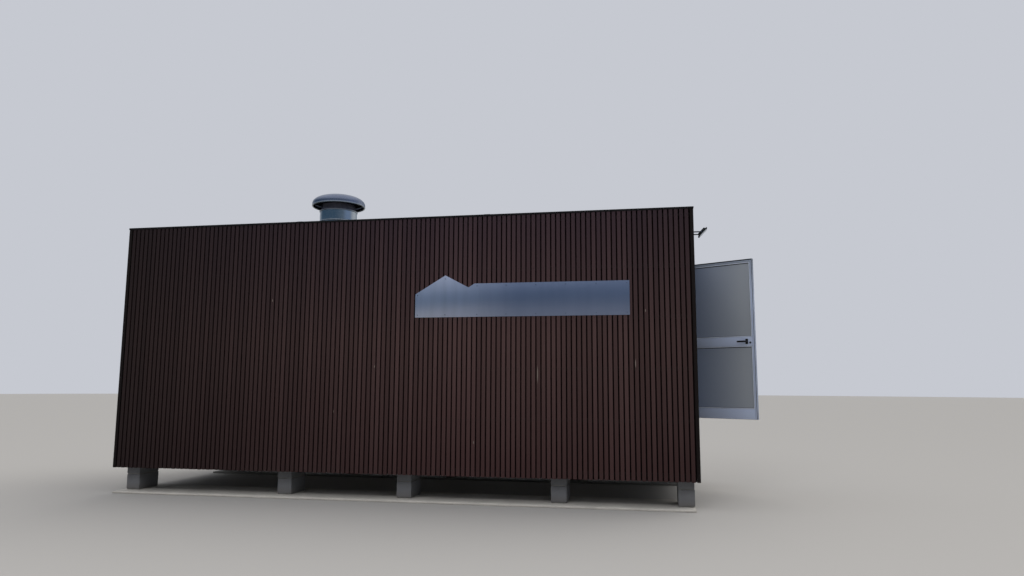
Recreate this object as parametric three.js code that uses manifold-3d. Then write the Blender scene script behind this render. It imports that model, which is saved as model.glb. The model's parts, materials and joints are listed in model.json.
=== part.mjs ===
// A small hydro powerhouse: a raised cabin on block piers, clad all round in vertical slats, with a
// mushroom vent on its roof, a metal name plate on its front and a door standing open at its right end.
//
// Millimetres, +Z up. X runs along the front to the right, Y runs from the front to the back.
// The origin is at ground level, in the middle of the front footing's underside.
import * as THREE from 'three';
import { mergeVertices } from 'three/addons/utils/BufferGeometryUtils.js';
import Module from 'manifold-3d';

const wasm = await Module();
wasm.setup();

// Overall size of the clad box
const LENGTH = 7600;
const DEPTH = 3000;
const CLADDING_BOTTOM = 325;
const CLADDING_TOP = 3545;
const PIER_SETBACK = 155; // cladding face to pier face

// Footings and piers
const FOOTING_WIDTH = 800;
const FOOTING_HEIGHT = 25; // what stands above the ground
const FOOTING_LENGTH = 7480;
const PIER_WIDTH = 190;
const PIER_DEPTH = 390;
const PIER_CENTRES = [-3597, -1409, 200, 2144, 3640];

// Cabin shell
const CLADDING_THICK = 55; // slats and the battens behind them
const SLAT_WIDTH = 45;
const SLAT_THICK = 25;
const SLAT_PITCH = 61.8; // nominal, each side is shared out evenly
const CORNER_POST = 42; // at both ends of the front and the back
const THINNEST_SLAT = 15; // a cut slat narrower than this is left out beside the doorway
const WALL_THICK = 120;
const FLOOR_UNDERSIDE = 825;
const FLOOR_TOP = 965;
const WALL_TOP = 3405;
const ROOF_TOP = 3505;
const FLASHING_HEIGHT = 20;
const FLASHING_WIDTH = 65;
const FLASHING_OVERHANG = 5;

// Door: the leaf hangs at the back jamb and opens outwards
const LEAF_WIDTH = 1016;
const LEAF_HEIGHT = 2200;
const LEAF_THICK = 45;
const HINGE_Y = 1806;
const HINGE_RADIUS = 8;
const HINGE_STAND_OFF = 9; // cladding face to hinge axis
const HINGE_KNUCKLE = 60;
const HINGE_PLAY = 0.5; // between a hinge's two knuckles
const HINGE_PLATE = { width: 40, thick: 3 };
const HINGE_HEIGHTS = { top: 2895, bottom: 1185 };
const DOOR_GAP = 5; // running gap round the leaf
const HINGE_SIDE_GAP = 2.5; // hinge axis to leaf edge, and to jamb
const SWING_ALLOWANCE = 1.5; // more gap at the lock edge, which swings a little wide
const DOOR_OPEN_DEG = 60;
const JAMB_WIDTH = 50;
const FRAME_DEPTH = 120;
const STOP_WIDTH = 20;
const SILL_HEIGHT = 10;
const RAIL = { stile: 50, top: 55, middle: 150, bottom: 150 };
const MIDDLE_RAIL_CENTRE = 1057; // above the leaf's lower edge
const PANEL_RECESS = 6;

// Lever handle and its plates
const LEVER_ABOVE_LEAF = 1055;
const LEVER_FROM_EDGE = 112;
const LEVER_LENGTH = 125;
const LEVER_REACH = 45; // plate face to the far side of the lever
const LEVER_HUB_RADIUS = 11;
const LEVER_GRIP = { height: 18, thick: 14 };
const SPINDLE_RADIUS = 6;
const SPINDLE_ROOT = 2; // how far the spindle runs into its own hub
const SPINDLE_BORE = 8;
const BORE_LENGTH = LEAF_THICK + 40; // through the leaf and both plates
const LOCK_PLATE = { width: 36, height: 70, thick: 6 };

// Name plate, measured from its own lower left corner
const PLATE_LEFT = 349;
const PLATE_BOTTOM = 2268;
const PLATE_THICK = 4;
const PLATE_OUTLINE = [[0, 0], [2680, 0], [2680, 418], [766, 418], [690, 370], [389, 529], [0, 295]];

// Roof vent
const VENT_X = -1395;
const VENT_CURB = { side: 760, top: 3705 };
const VENT_NECK = { radius: 277, rim: 4055, throat: 245, top: 4143 }; // the throat joins neck and cap
const VENT_FLANGE = { width: 40, thick: 4 };
const VENT_BEAD = 9; // how far a bead stands out, and a third of its height
const LOW_BEAD_ABOVE_CURB = 160;
const VENT_CAP = { radius: 399, lip: 4113, crown: 4297 };
const CAP_EDGE = [[-42, 6], [-25, 0], [-8, 6], [0, 22], [-6, 44]]; // rolled edge, from the radius and the lip
const CAP_HOLLOW_INSET = 55;
const DOME_START = { inset: 22, above_lip: 60 };
const DOME_STEPS = 8;
const ROUND_SIDES = 48;

// Floodlight at the right end, near the front corner
const LAMP_CENTRE_Y = -100;
const LAMP_PIVOT = { out: 100, z: 3285 };
const LAMP = { width: 146, height: 134, thick: 38, below_pivot: 50 };
const LAMP_LEAN_DEG = 44; // from upright, face turned down
const LAMP_PIN_RADIUS = 5;
const BRACKET = { strap: 4, width: 14, side_gap: 6 };

const TOUCH_GAP = 0.3; // left between pieces inside a turned group
const OVERCUT = 1; // how far a cutting block passes the face that it cuts

// Places worked out from the sizes above
const front = -PIER_SETBACK - PIER_DEPTH / 2;
const back = front + DEPTH;
const left = -LENGTH / 2;
const right = LENGTH / 2;
const wallFront = front + CLADDING_THICK;
const wallBack = back - CLADDING_THICK;
const wallLeft = left + CLADDING_THICK;
const wallRight = right - CLADDING_THICK;
const backFootingY = back - PIER_SETBACK - PIER_DEPTH / 2;
const pierTop = FLOOR_UNDERSIDE;
const leafBottom = FLOOR_TOP + SILL_HEIGHT + DOOR_GAP;
const leafTop = leafBottom + LEAF_HEIGHT;
const jambHingeFace = HINGE_Y + HINGE_SIDE_GAP;
const jambLockFace = HINGE_Y - HINGE_SIDE_GAP - LEAF_WIDTH - DOOR_GAP - SWING_ALLOWANCE;
const openingBack = jambHingeFace + JAMB_WIDTH;
const openingFront = jambLockFace - JAMB_WIDTH;
const headBottom = leafTop + DOOR_GAP;
const openingTop = headBottom + JAMB_WIDTH;

// Finishes
const finish = (color, roughness, metalness) =>
  new THREE.MeshStandardMaterial({ color, roughness, metalness });
const slats = finish('#33262a', 0.75, 0);
const concrete = finish('#9c9a94', 0.95, 0);
const shellPanel = finish('#c9c8c3', 0.6, 0.1);
const membrane = finish('#3a3b3c', 0.85, 0);
const flashingMetal = finish('#1d1b1e', 0.5, 0.6);
const doorPaint = finish('#9aa1a8', 0.5, 0.2);
const frameMetal = finish('#aab0b6', 0.45, 0.4);
const galvanised = finish('#8c98a6', 0.45, 0.8);
const brushedPlate = finish('#8a97a8', 0.4, 0.85);
const blackFitting = finish('#191a1c', 0.5, 0.3);

const part = new THREE.Group();

// Adds one named piece to a group
function add(group, name, geometry, material) {
  const mesh = new THREE.Mesh(geometry, material);
  mesh.name = name;
  group.add(mesh);
  return mesh;
}

// A block between two corners
function block(x0, x1, y0, y1, z0, z1) {
  const geometry = new THREE.BoxGeometry(x1 - x0, y1 - y0, z1 - z0);
  return geometry.translate((x0 + x1) / 2, (y0 + y1) / 2, (z0 + z1) / 2);
}

// A round bar along Z, then turned by the caller
function bar(radius, length, sides = 24) {
  return new THREE.CylinderGeometry(radius, radius, length, sides).rotateX(Math.PI / 2);
}

function outline(points) {
  return new THREE.Shape(points.map(([x, y]) => new THREE.Vector2(x, y)));
}

function toSolid(geometry) {
  const bare = geometry.clone();
  bare.deleteAttribute('normal');
  bare.deleteAttribute('uv');
  const merged = mergeVertices(bare, 1e-4);
  const vertProperties = new Float32Array(merged.attributes.position.array);
  const triVerts = new Uint32Array(merged.index.array);
  return new wasm.Manifold(new wasm.Mesh({ numProp: 3, vertProperties, triVerts }));
}

function toGeometry(solid) {
  const mesh = solid.getMesh();
  const geometry = new THREE.BufferGeometry();
  geometry.setAttribute('position', new THREE.BufferAttribute(mesh.vertProperties, 3));
  geometry.setIndex(new THREE.BufferAttribute(mesh.triVerts, 1));
  geometry.computeVertexNormals();
  return geometry;
}

function joined(first, ...others) {
  return toGeometry(others.reduce((sum, piece) => sum.add(toSolid(piece)), toSolid(first)));
}

function cut(first, ...others) {
  return toGeometry(others.reduce((rest, piece) => rest.subtract(toSolid(piece)), toSolid(first)));
}

// Footings and the block piers that stand on them
function buildPiers() {
  for (const [row, y] of [['front', 0], ['back', backFootingY]]) {
    const footing = block(-FOOTING_LENGTH / 2, FOOTING_LENGTH / 2, y - FOOTING_WIDTH / 2,
      y + FOOTING_WIDTH / 2, 0, FOOTING_HEIGHT);
    add(part, `${row}_footing`, footing, concrete);
    PIER_CENTRES.forEach((x, index) => {
      const pier = block(x - PIER_WIDTH / 2, x + PIER_WIDTH / 2, y - PIER_DEPTH / 2, y + PIER_DEPTH / 2,
        FOOTING_HEIGHT, pierTop);
      add(part, `${row}_pier_${index + 1}`, pier, concrete);
    });
  }
}

// Floor, walls and roof deck, with the doorway left open in the right end
function buildShell() {
  const slab = block(wallLeft, wallRight, wallFront, wallBack, FLOOR_UNDERSIDE, FLOOR_TOP);
  add(part, 'floor_slab', slab, concrete);
  const innerFront = wallFront + WALL_THICK;
  const innerBack = wallBack - WALL_THICK;
  const wall = (name, x0, x1, y0, y1, z0 = FLOOR_TOP, z1 = WALL_TOP) =>
    add(part, name, block(x0, x1, y0, y1, z0, z1), shellPanel);
  wall('front_wall', wallLeft, wallRight, wallFront, innerFront);
  wall('back_wall', wallLeft, wallRight, innerBack, wallBack);
  wall('left_wall', wallLeft, wallLeft + WALL_THICK, innerFront, innerBack);
  const innerRight = wallRight - WALL_THICK;
  wall('right_wall_front', innerRight, wallRight, innerFront, openingFront);
  wall('right_wall_back', innerRight, wallRight, openingBack, innerBack);
  wall('right_wall_over_door', innerRight, wallRight, openingFront, openingBack, openingTop);
  add(part, 'roof_deck', block(wallLeft, wallRight, wallFront, wallBack, WALL_TOP, ROOF_TOP), membrane);
}

// The equal gaps between the slats of one side, with one at each end of the run
function slatGaps(from, to) {
  const gapCount = Math.round((to - from + SLAT_WIDTH) / SLAT_PITCH);
  const pitch = (to - from + SLAT_WIDTH) / gapCount;
  return Array.from({ length: gapCount }, (_, index) => {
    const start = from + index * pitch;
    return [start, start + pitch - SLAT_WIDTH];
  });
}

// A block on one side of the clad box: from and to run along it, the depths go in from its outer face
function onSide(side, from, to, nearDepth, farDepth, z0, z1) {
  switch (side) {
    case 'front': return block(from, to, front + nearDepth, front + farDepth, z0, z1);
    case 'back': return block(from, to, back - farDepth, back - nearDepth, z0, z1);
    case 'left': return block(left + nearDepth, left + farDepth, from, to, z0, z1);
    default: return block(right - farDepth, right - nearDepth, from, to, z0, z1);
  }
}

// Slats on their battens and backing, as one solid with the gaps cut into its outer face
function slattedPanel(side, from, to, gaps, z0, z1) {
  const panel = onSide(side, from, to, 0, CLADDING_THICK, z0, z1);
  const grooves = gaps.filter(([start, end]) => end > from && start < to).map(([start, end]) => {
    const grooveStart = start - from < THINNEST_SLAT ? from - OVERCUT : start;
    const grooveEnd = to - end < THINNEST_SLAT ? to + OVERCUT : end;
    return onSide(side, grooveStart, grooveEnd, -OVERCUT, SLAT_THICK, z0 - OVERCUT, z1 + OVERCUT);
  });
  return cut(panel, ...grooves);
}

// Slatted panels all round, hanging below the floor as a skirt
function buildCladding() {
  const longGaps = slatGaps(left + CORNER_POST, right - CORNER_POST);
  const shortGaps = slatGaps(wallFront, wallBack);
  const panel = (name, side, from, to, gaps, z0 = CLADDING_BOTTOM, z1 = CLADDING_TOP) =>
    add(part, name, slattedPanel(side, from, to, gaps, z0, z1), slats);
  panel('front_cladding', 'front', left, right, longGaps);
  panel('back_cladding', 'back', left, right, longGaps);
  panel('left_cladding', 'left', wallFront, wallBack, shortGaps);
  panel('right_cladding_front', 'right', wallFront, openingFront, shortGaps);
  panel('right_cladding_back', 'right', openingBack, wallBack, shortGaps);
  panel('right_cladding_over_door', 'right', openingFront, openingBack, shortGaps, openingTop);
  panel('right_cladding_under_door', 'right', openingFront, openingBack, shortGaps, CLADDING_BOTTOM,
    FLOOR_TOP);
}

// A metal capping along the top of the cladding
function buildFlashings() {
  const z0 = CLADDING_TOP;
  const z1 = CLADDING_TOP + FLASHING_HEIGHT;
  const outFront = front - FLASHING_OVERHANG;
  const outBack = back + FLASHING_OVERHANG;
  const outLeft = left - FLASHING_OVERHANG;
  const outRight = right + FLASHING_OVERHANG;
  const inFront = outFront + FLASHING_WIDTH;
  const inBack = outBack - FLASHING_WIDTH;
  const inLeft = outLeft + FLASHING_WIDTH;
  const inRight = outRight - FLASHING_WIDTH;
  add(part, 'front_flashing', block(outLeft, outRight, outFront, inFront, z0, z1), flashingMetal);
  add(part, 'back_flashing', block(outLeft, outRight, inBack, outBack, z0, z1), flashingMetal);
  add(part, 'left_flashing', block(outLeft, inLeft, inFront, inBack, z0, z1), flashingMetal);
  add(part, 'right_flashing', block(inRight, outRight, inFront, inBack, z0, z1), flashingMetal);
}

// Rebated door frame: the stop stands behind the closed leaf
function buildDoorFrame() {
  const frameIn = right - FRAME_DEPTH;
  const stopOut = right - LEAF_THICK - DOOR_GAP;
  const rebated = (turn) => outline([
    [right, 0],
    [right, turn * JAMB_WIDTH],
    [frameIn, turn * JAMB_WIDTH],
    [frameIn, -turn * STOP_WIDTH],
    [stopOut, -turn * STOP_WIDTH],
    [stopOut, 0],
  ]);
  const jambHeight = headBottom - FLOOR_TOP - SILL_HEIGHT;
  const jamb = (turn, face) => {
    const length = new THREE.ExtrudeGeometry(rebated(turn), { depth: jambHeight, bevelEnabled: false });
    return length.translate(0, face, FLOOR_TOP + SILL_HEIGHT);
  };
  add(part, 'door_jamb_hinge_side', jamb(1, jambHingeFace), frameMetal);
  add(part, 'door_jamb_lock_side', jamb(-1, jambLockFace), frameMetal);
  const headPlate = block(frameIn, right, openingFront, openingBack, headBottom, openingTop);
  const headStop = block(frameIn, stopOut, jambLockFace + STOP_WIDTH, jambHingeFace - STOP_WIDTH,
    headBottom - STOP_WIDTH, headBottom);
  add(part, 'door_head', joined(headPlate, headStop), frameMetal);
  const sill = block(wallRight - WALL_THICK, right, openingFront, openingBack, FLOOR_TOP,
    FLOOR_TOP + SILL_HEIGHT);
  add(part, 'door_sill', sill, frameMetal);
}

// A knuckle and its plate; side is 1 on the frame and -1 on the leaf
function hingeHalf(side, z, faceGap) {
  const { width, thick } = HINGE_PLATE;
  const plate = block(-HINGE_STAND_OFF + faceGap, -HINGE_STAND_OFF + thick, Math.min(0, side * width),
    Math.max(0, side * width), z, z + HINGE_KNUCKLE);
  return joined(plate, bar(HINGE_RADIUS, HINGE_KNUCKLE).translate(0, 0, z + HINGE_KNUCKLE / 2));
}

// Lever, hub and the part of the spindle that it carries; out is 1 outside and -1 inside
function lever(out, face, spindleEnd) {
  const hubStart = Math.min(face, face + out * LEVER_REACH);
  const hub = bar(LEVER_HUB_RADIUS, LEVER_REACH).rotateY(Math.PI / 2)
    .translate(hubStart + LEVER_REACH / 2, 0, 0);
  const { height, thick } = LEVER_GRIP;
  const gripOuter = face + out * LEVER_REACH;
  const gripInner = gripOuter - out * thick;
  const grip = block(Math.min(gripInner, gripOuter), Math.max(gripInner, gripOuter), -LEVER_HUB_RADIUS,
    LEVER_LENGTH, -height / 2, height / 2);
  if (spindleEnd === undefined) {
    return joined(hub, grip);
  }
  const spindleLength = Math.abs(spindleEnd - face) + SPINDLE_ROOT;
  const spindle = bar(SPINDLE_RADIUS, spindleLength).rotateY(Math.PI / 2)
    .translate((spindleEnd + face + out * SPINDLE_ROOT) / 2, 0, 0);
  return joined(hub, grip, spindle);
}

// The hung leaf, drawn closed about its hinge axis and then turned open
function buildDoorLeaf() {
  for (const [place, z] of Object.entries(HINGE_HEIGHTS)) {
    const half = add(part, `hinge_${place}_frame`, hingeHalf(1, z, 0), frameMetal);
    half.position.set(right + HINGE_STAND_OFF, HINGE_Y, 0);
  }
  const door = new THREE.Group();
  door.position.set(right + HINGE_STAND_OFF, HINGE_Y, 0);
  door.rotation.z = THREE.MathUtils.degToRad(DOOR_OPEN_DEG);
  part.add(door);

  const outer = -HINGE_STAND_OFF;
  const inner = outer - LEAF_THICK;
  const hingeEdge = -HINGE_SIDE_GAP;
  const lockEdge = hingeEdge - LEAF_WIDTH;
  const spindleY = lockEdge + LEVER_FROM_EDGE;
  const spindleZ = leafBottom + LEVER_ABOVE_LEAF;
  const middleLow = leafBottom + MIDDLE_RAIL_CENTRE - RAIL.middle / 2;
  const middleHigh = middleLow + RAIL.middle;
  const panels = [[leafBottom + RAIL.bottom, middleLow], [middleHigh, leafTop - RAIL.top]];
  const pockets = [];
  const panelLock = lockEdge + RAIL.stile;
  const panelHinge = hingeEdge - RAIL.stile;
  for (const [z0, z1] of panels) {
    for (const x of [inner, outer]) {
      pockets.push(block(x - PANEL_RECESS, x + PANEL_RECESS, panelLock, panelHinge, z0, z1));
    }
  }
  const along = (geometry, x) => geometry.rotateY(Math.PI / 2).translate(x, spindleY, spindleZ);
  const bore = along(bar(SPINDLE_BORE, BORE_LENGTH), (inner + outer) / 2);
  const leaf = block(inner, outer, lockEdge, hingeEdge, leafBottom, leafTop);
  add(door, 'door_leaf', cut(leaf, ...pockets, bore), doorPaint);

  for (const [place, z] of Object.entries(HINGE_HEIGHTS)) {
    const upperHalf = hingeHalf(-1, z + HINGE_KNUCKLE + HINGE_PLAY, TOUCH_GAP);
    add(door, `hinge_${place}_leaf`, upperHalf, frameMetal);
  }

  const lockPlate = (x0, x1) => cut(
    block(x0, x1, spindleY - LOCK_PLATE.width / 2, spindleY + LOCK_PLATE.width / 2,
      spindleZ - LOCK_PLATE.height / 2, spindleZ + LOCK_PLATE.height / 2), bore);
  const insideFace = inner - TOUCH_GAP - LOCK_PLATE.thick;
  const outsideFace = outer + TOUCH_GAP + LOCK_PLATE.thick;
  add(door, 'lock_plate_inside', lockPlate(insideFace, inner - TOUCH_GAP), blackFitting);
  add(door, 'lock_plate_outside', lockPlate(outer + TOUCH_GAP, outsideFace), blackFitting);

  const insideStart = insideFace - TOUCH_GAP;
  const outsideStart = outsideFace + TOUCH_GAP;
  const insideLever = lever(-1, insideStart, outsideStart - TOUCH_GAP);
  add(door, 'lever_inside', insideLever.translate(0, spindleY, spindleZ), blackFitting);
  add(door, 'lever_outside', lever(1, outsideStart).translate(0, spindleY, spindleZ), blackFitting);
}

// Flat metal plate on the front, its left end cut to a ridge line
function buildNamePlate() {
  const flat = { depth: PLATE_THICK, bevelEnabled: false };
  const plate = new THREE.ExtrudeGeometry(outline(PLATE_OUTLINE), flat).rotateX(Math.PI / 2);
  add(part, 'name_plate', plate.translate(PLATE_LEFT, front, PLATE_BOTTOM), brushedPlate);
}

// Round vent with a beaded neck and an overhanging domed cap
function buildVent() {
  const y = (front + back) / 2;
  const { side, top } = VENT_CURB;
  const half = side / 2;
  add(part, 'vent_curb', block(VENT_X - half, VENT_X + half, y - half, y + half, ROOF_TOP, top), galvanised);
  const lathe = (points) => {
    const profile = points.map(([r, z]) => new THREE.Vector2(r, z));
    return new THREE.LatheGeometry(profile, ROUND_SIDES).rotateX(Math.PI / 2).translate(VENT_X, y, 0);
  };
  const { radius, rim, throat } = VENT_NECK;
  const flangeRadius = radius + VENT_FLANGE.width;
  const flangeTop = top + VENT_FLANGE.thick;
  const neck = [[0, top], [flangeRadius, top], [flangeRadius, flangeTop], [radius, flangeTop]];
  for (const z of [top + LOW_BEAD_ABOVE_CURB, rim - 3 * VENT_BEAD]) {
    neck.push([radius, z], [radius + VENT_BEAD, z + VENT_BEAD], [radius + VENT_BEAD, z + 2 * VENT_BEAD],
      [radius, z + 3 * VENT_BEAD]);
  }
  neck.push([throat, rim], [throat, VENT_NECK.top], [0, VENT_NECK.top]);
  add(part, 'vent_neck', lathe(neck), galvanised);
  const { radius: capRadius, lip, crown } = VENT_CAP;
  const cap = [[0, VENT_NECK.top], [capRadius - CAP_HOLLOW_INSET, VENT_NECK.top]];
  cap.push(...CAP_EDGE.map(([out, up]) => [capRadius + out, lip + up]));
  const domeFoot = lip + DOME_START.above_lip;
  for (let step = 0; step < DOME_STEPS; step += 1) {
    const angle = (step / DOME_STEPS) * (Math.PI / 2);
    const domeRadius = (capRadius - DOME_START.inset) * Math.cos(angle);
    cap.push([domeRadius, domeFoot + (crown - domeFoot) * Math.sin(angle)]);
  }
  cap.push([0, crown]);
  add(part, 'vent_cap', lathe(cap), galvanised);
}

// Floodlight in its U bracket, leaning out from the wall with its face turned down
function buildFloodlight() {
  const { strap, width, side_gap: gap } = BRACKET;
  const halfSpan = LAMP.width / 2 + gap;
  const pivotX = right + LAMP_PIVOT.out;
  const z0 = LAMP_PIVOT.z - width / 2;
  const z1 = LAMP_PIVOT.z + width / 2;
  const armEnd = pivotX + width / 2;
  const armFar = halfSpan + strap;
  const u = outline([
    [right, -armFar], [armEnd, -armFar], [armEnd, -halfSpan], [right + strap, -halfSpan],
    [right + strap, halfSpan], [armEnd, halfSpan], [armEnd, armFar], [right, armFar],
  ]);
  const bracket = new THREE.ExtrudeGeometry(u, { depth: z1 - z0, bevelEnabled: false });
  add(part, 'lamp_bracket', bracket.translate(0, LAMP_CENTRE_Y, z0), blackFitting);
  const lamp = new THREE.Group();
  lamp.position.set(pivotX, LAMP_CENTRE_Y, LAMP_PIVOT.z);
  lamp.rotation.y = THREE.MathUtils.degToRad(LAMP_LEAN_DEG);
  part.add(lamp);
  const body = block(-LAMP.thick / 2, LAMP.thick / 2, -LAMP.width / 2, LAMP.width / 2,
    -LAMP.below_pivot, LAMP.height - LAMP.below_pivot);
  const pin = bar(LAMP_PIN_RADIUS, LAMP.width + 2 * (gap - TOUCH_GAP)).rotateX(Math.PI / 2);
  add(lamp, 'lamp_housing', joined(body, pin), blackFitting);
}

buildPiers();
buildShell();
buildCladding();
buildFlashings();
buildDoorFrame();
buildDoorLeaf();
buildNamePlate();
buildVent();
buildFloodlight();

export default part;
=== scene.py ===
"""Looks of a slat-clad hydro powerhouse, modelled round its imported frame. Metres, +Z up."""
import json
import math
from contextlib import contextmanager
from functools import cache

import bpy
import numpy as np
from bpy.props import FloatProperty, FloatVectorProperty, PointerProperty
from mathutils import Matrix, Vector


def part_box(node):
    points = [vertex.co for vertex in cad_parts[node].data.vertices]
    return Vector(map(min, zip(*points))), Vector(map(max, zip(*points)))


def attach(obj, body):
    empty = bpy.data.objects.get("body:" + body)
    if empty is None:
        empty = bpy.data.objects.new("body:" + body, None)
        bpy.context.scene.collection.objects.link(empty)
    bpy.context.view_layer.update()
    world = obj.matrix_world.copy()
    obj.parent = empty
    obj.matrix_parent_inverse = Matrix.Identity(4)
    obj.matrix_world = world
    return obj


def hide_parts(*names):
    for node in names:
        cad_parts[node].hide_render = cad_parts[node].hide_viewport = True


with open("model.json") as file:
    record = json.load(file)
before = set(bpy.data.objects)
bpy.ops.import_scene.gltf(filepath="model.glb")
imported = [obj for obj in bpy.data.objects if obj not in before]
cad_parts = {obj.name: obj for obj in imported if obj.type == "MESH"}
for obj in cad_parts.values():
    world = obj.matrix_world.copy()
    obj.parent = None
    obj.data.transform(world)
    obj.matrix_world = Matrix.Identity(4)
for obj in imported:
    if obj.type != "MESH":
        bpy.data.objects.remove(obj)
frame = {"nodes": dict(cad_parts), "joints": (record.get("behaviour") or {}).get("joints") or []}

bl_info = {
    "name": "Slat-clad powerhouse",
    "version": (1, 0, 0),
    "blender": (4, 5, 0),
    "location": "View3D > Sidebar > Powerhouse",
    "description": "Dresses a raised, slat-clad powerhouse and its small studio",
    "category": "Add Mesh",
}

X_AXIS, Y_AXIS, Z_AXIS = (1, 0, 0), (0, 1, 0), (0, 0, 1)
NODES = frame["nodes"]
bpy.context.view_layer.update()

# The camera's place was solved from the photograph of the front
CAMERA_PLACE = (3.252, -9.279, 1.426)
CAMERA_HEADING_DEG = 10.53
CAMERA_PITCH_DEG = 7.49
CAMERA_ROLL_DEG = 0.21
CAMERA_FOCAL_PIXELS = 740.0
IMAGE_WIDTH_PIXELS = 1024.0
SENSOR_WIDTH_MM = 36.0

# Pale chips and drips on the front slats: place along the front, middle height and half height
CHIP_HALF_WIDTH = 0.007
CHIPS = (
    (-1.609, 2.520, 0.022), (-0.172, 1.655, 0.020), (-0.702, 1.089, 0.018), (1.123, 0.735, 0.022),
    (1.911, 1.557, 0.120), (3.085, 1.687, 0.058), (3.213, 2.316, 0.020),
)

# The high softbox in front: place, what it is aimed at, width and height, watts
SOFTBOX_PLACE = (0.8, -12.5, 12.5)
SOFTBOX_AIM = (2.5, 0.0, 1.5)
SOFTBOX_SPREAD = (7.0, 3.0)
SOFTBOX_WATTS = 420.0

# Where the veiled sun shines to
SUN_WAY = (-0.55, -0.75, -1.15)

# Headings of the studio's bright, second and blue parts, as polished metal mirrors them
BRIGHT_HEADING_DEG = 46.0
SECOND_HEADING_DEG = 132.0
BLUE_HEADING_DEG = -4.0

# The floodlight leans out from upright, with its face turned down
LAMP_LEAN_DEG = 44.0

# Depth of the lock jamb's rebate, where the strike plate sits
LOCK_REBATE = 0.02


def linear(code):
    """Linear colour of an sRGB hex value."""
    parts = [int(code[start:start + 2], 16) / 255 for start in (1, 3, 5)]
    return (*[c / 12.92 if c <= 0.04045 else ((c + 0.055) / 1.055) ** 2.4 for c in parts], 1.0)


def joint_place(name):
    """Axis point and direction of one of the frame's joints."""
    found = next(joint for joint in frame["joints"] if joint["name"] == name)
    return Vector(found["pos_m"]), Vector(found["axis"])


def size(name, default, description):
    return FloatProperty(name=name, description=description, default=default, min=0.0, unit="LENGTH")


def tone(name, code, description):
    return FloatVectorProperty(
        name=name, description=description, default=linear(code), size=4, min=0.0, max=1.0, subtype="COLOR")


class PowerhouseSizes(bpy.types.PropertyGroup):
    """Sizes of the pieces that dress the frame"""
    slat_width: size("Slat width", 0.0450, "Face of one cladding slat")
    slat_pitch: size("Slat pitch", 0.0618, "Centre to centre of the slats")
    slat_thick: size("Slat thickness", 0.0250, "Front to back of one slat")
    post_width: size("Corner post", 0.0420, "Face of the post that ends a long run of slats")
    thinnest_slat: size("Thinnest slat", 0.0150, "A cut slat narrower than this is left out")
    batten_height: size("Batten height", 0.0450, "Height of the level battens behind the slats")
    batten_pitch: size("Batten pitch", 0.6000, "Height between battens")
    block_course: size("Block course", 0.2000, "One concrete block and its mortar joint")
    mortar_joint: size("Mortar joint", 0.0100, "Height of a mortar joint")
    wall_panel: size("Wall panel", 1.0700, "Width of the inside wall panels")
    felt_width: size("Felt width", 0.9400, "Width of roofing felt that shows between laps")
    capping_length: size("Capping length", 2.4500, "Length of one piece of metal capping")


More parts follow.
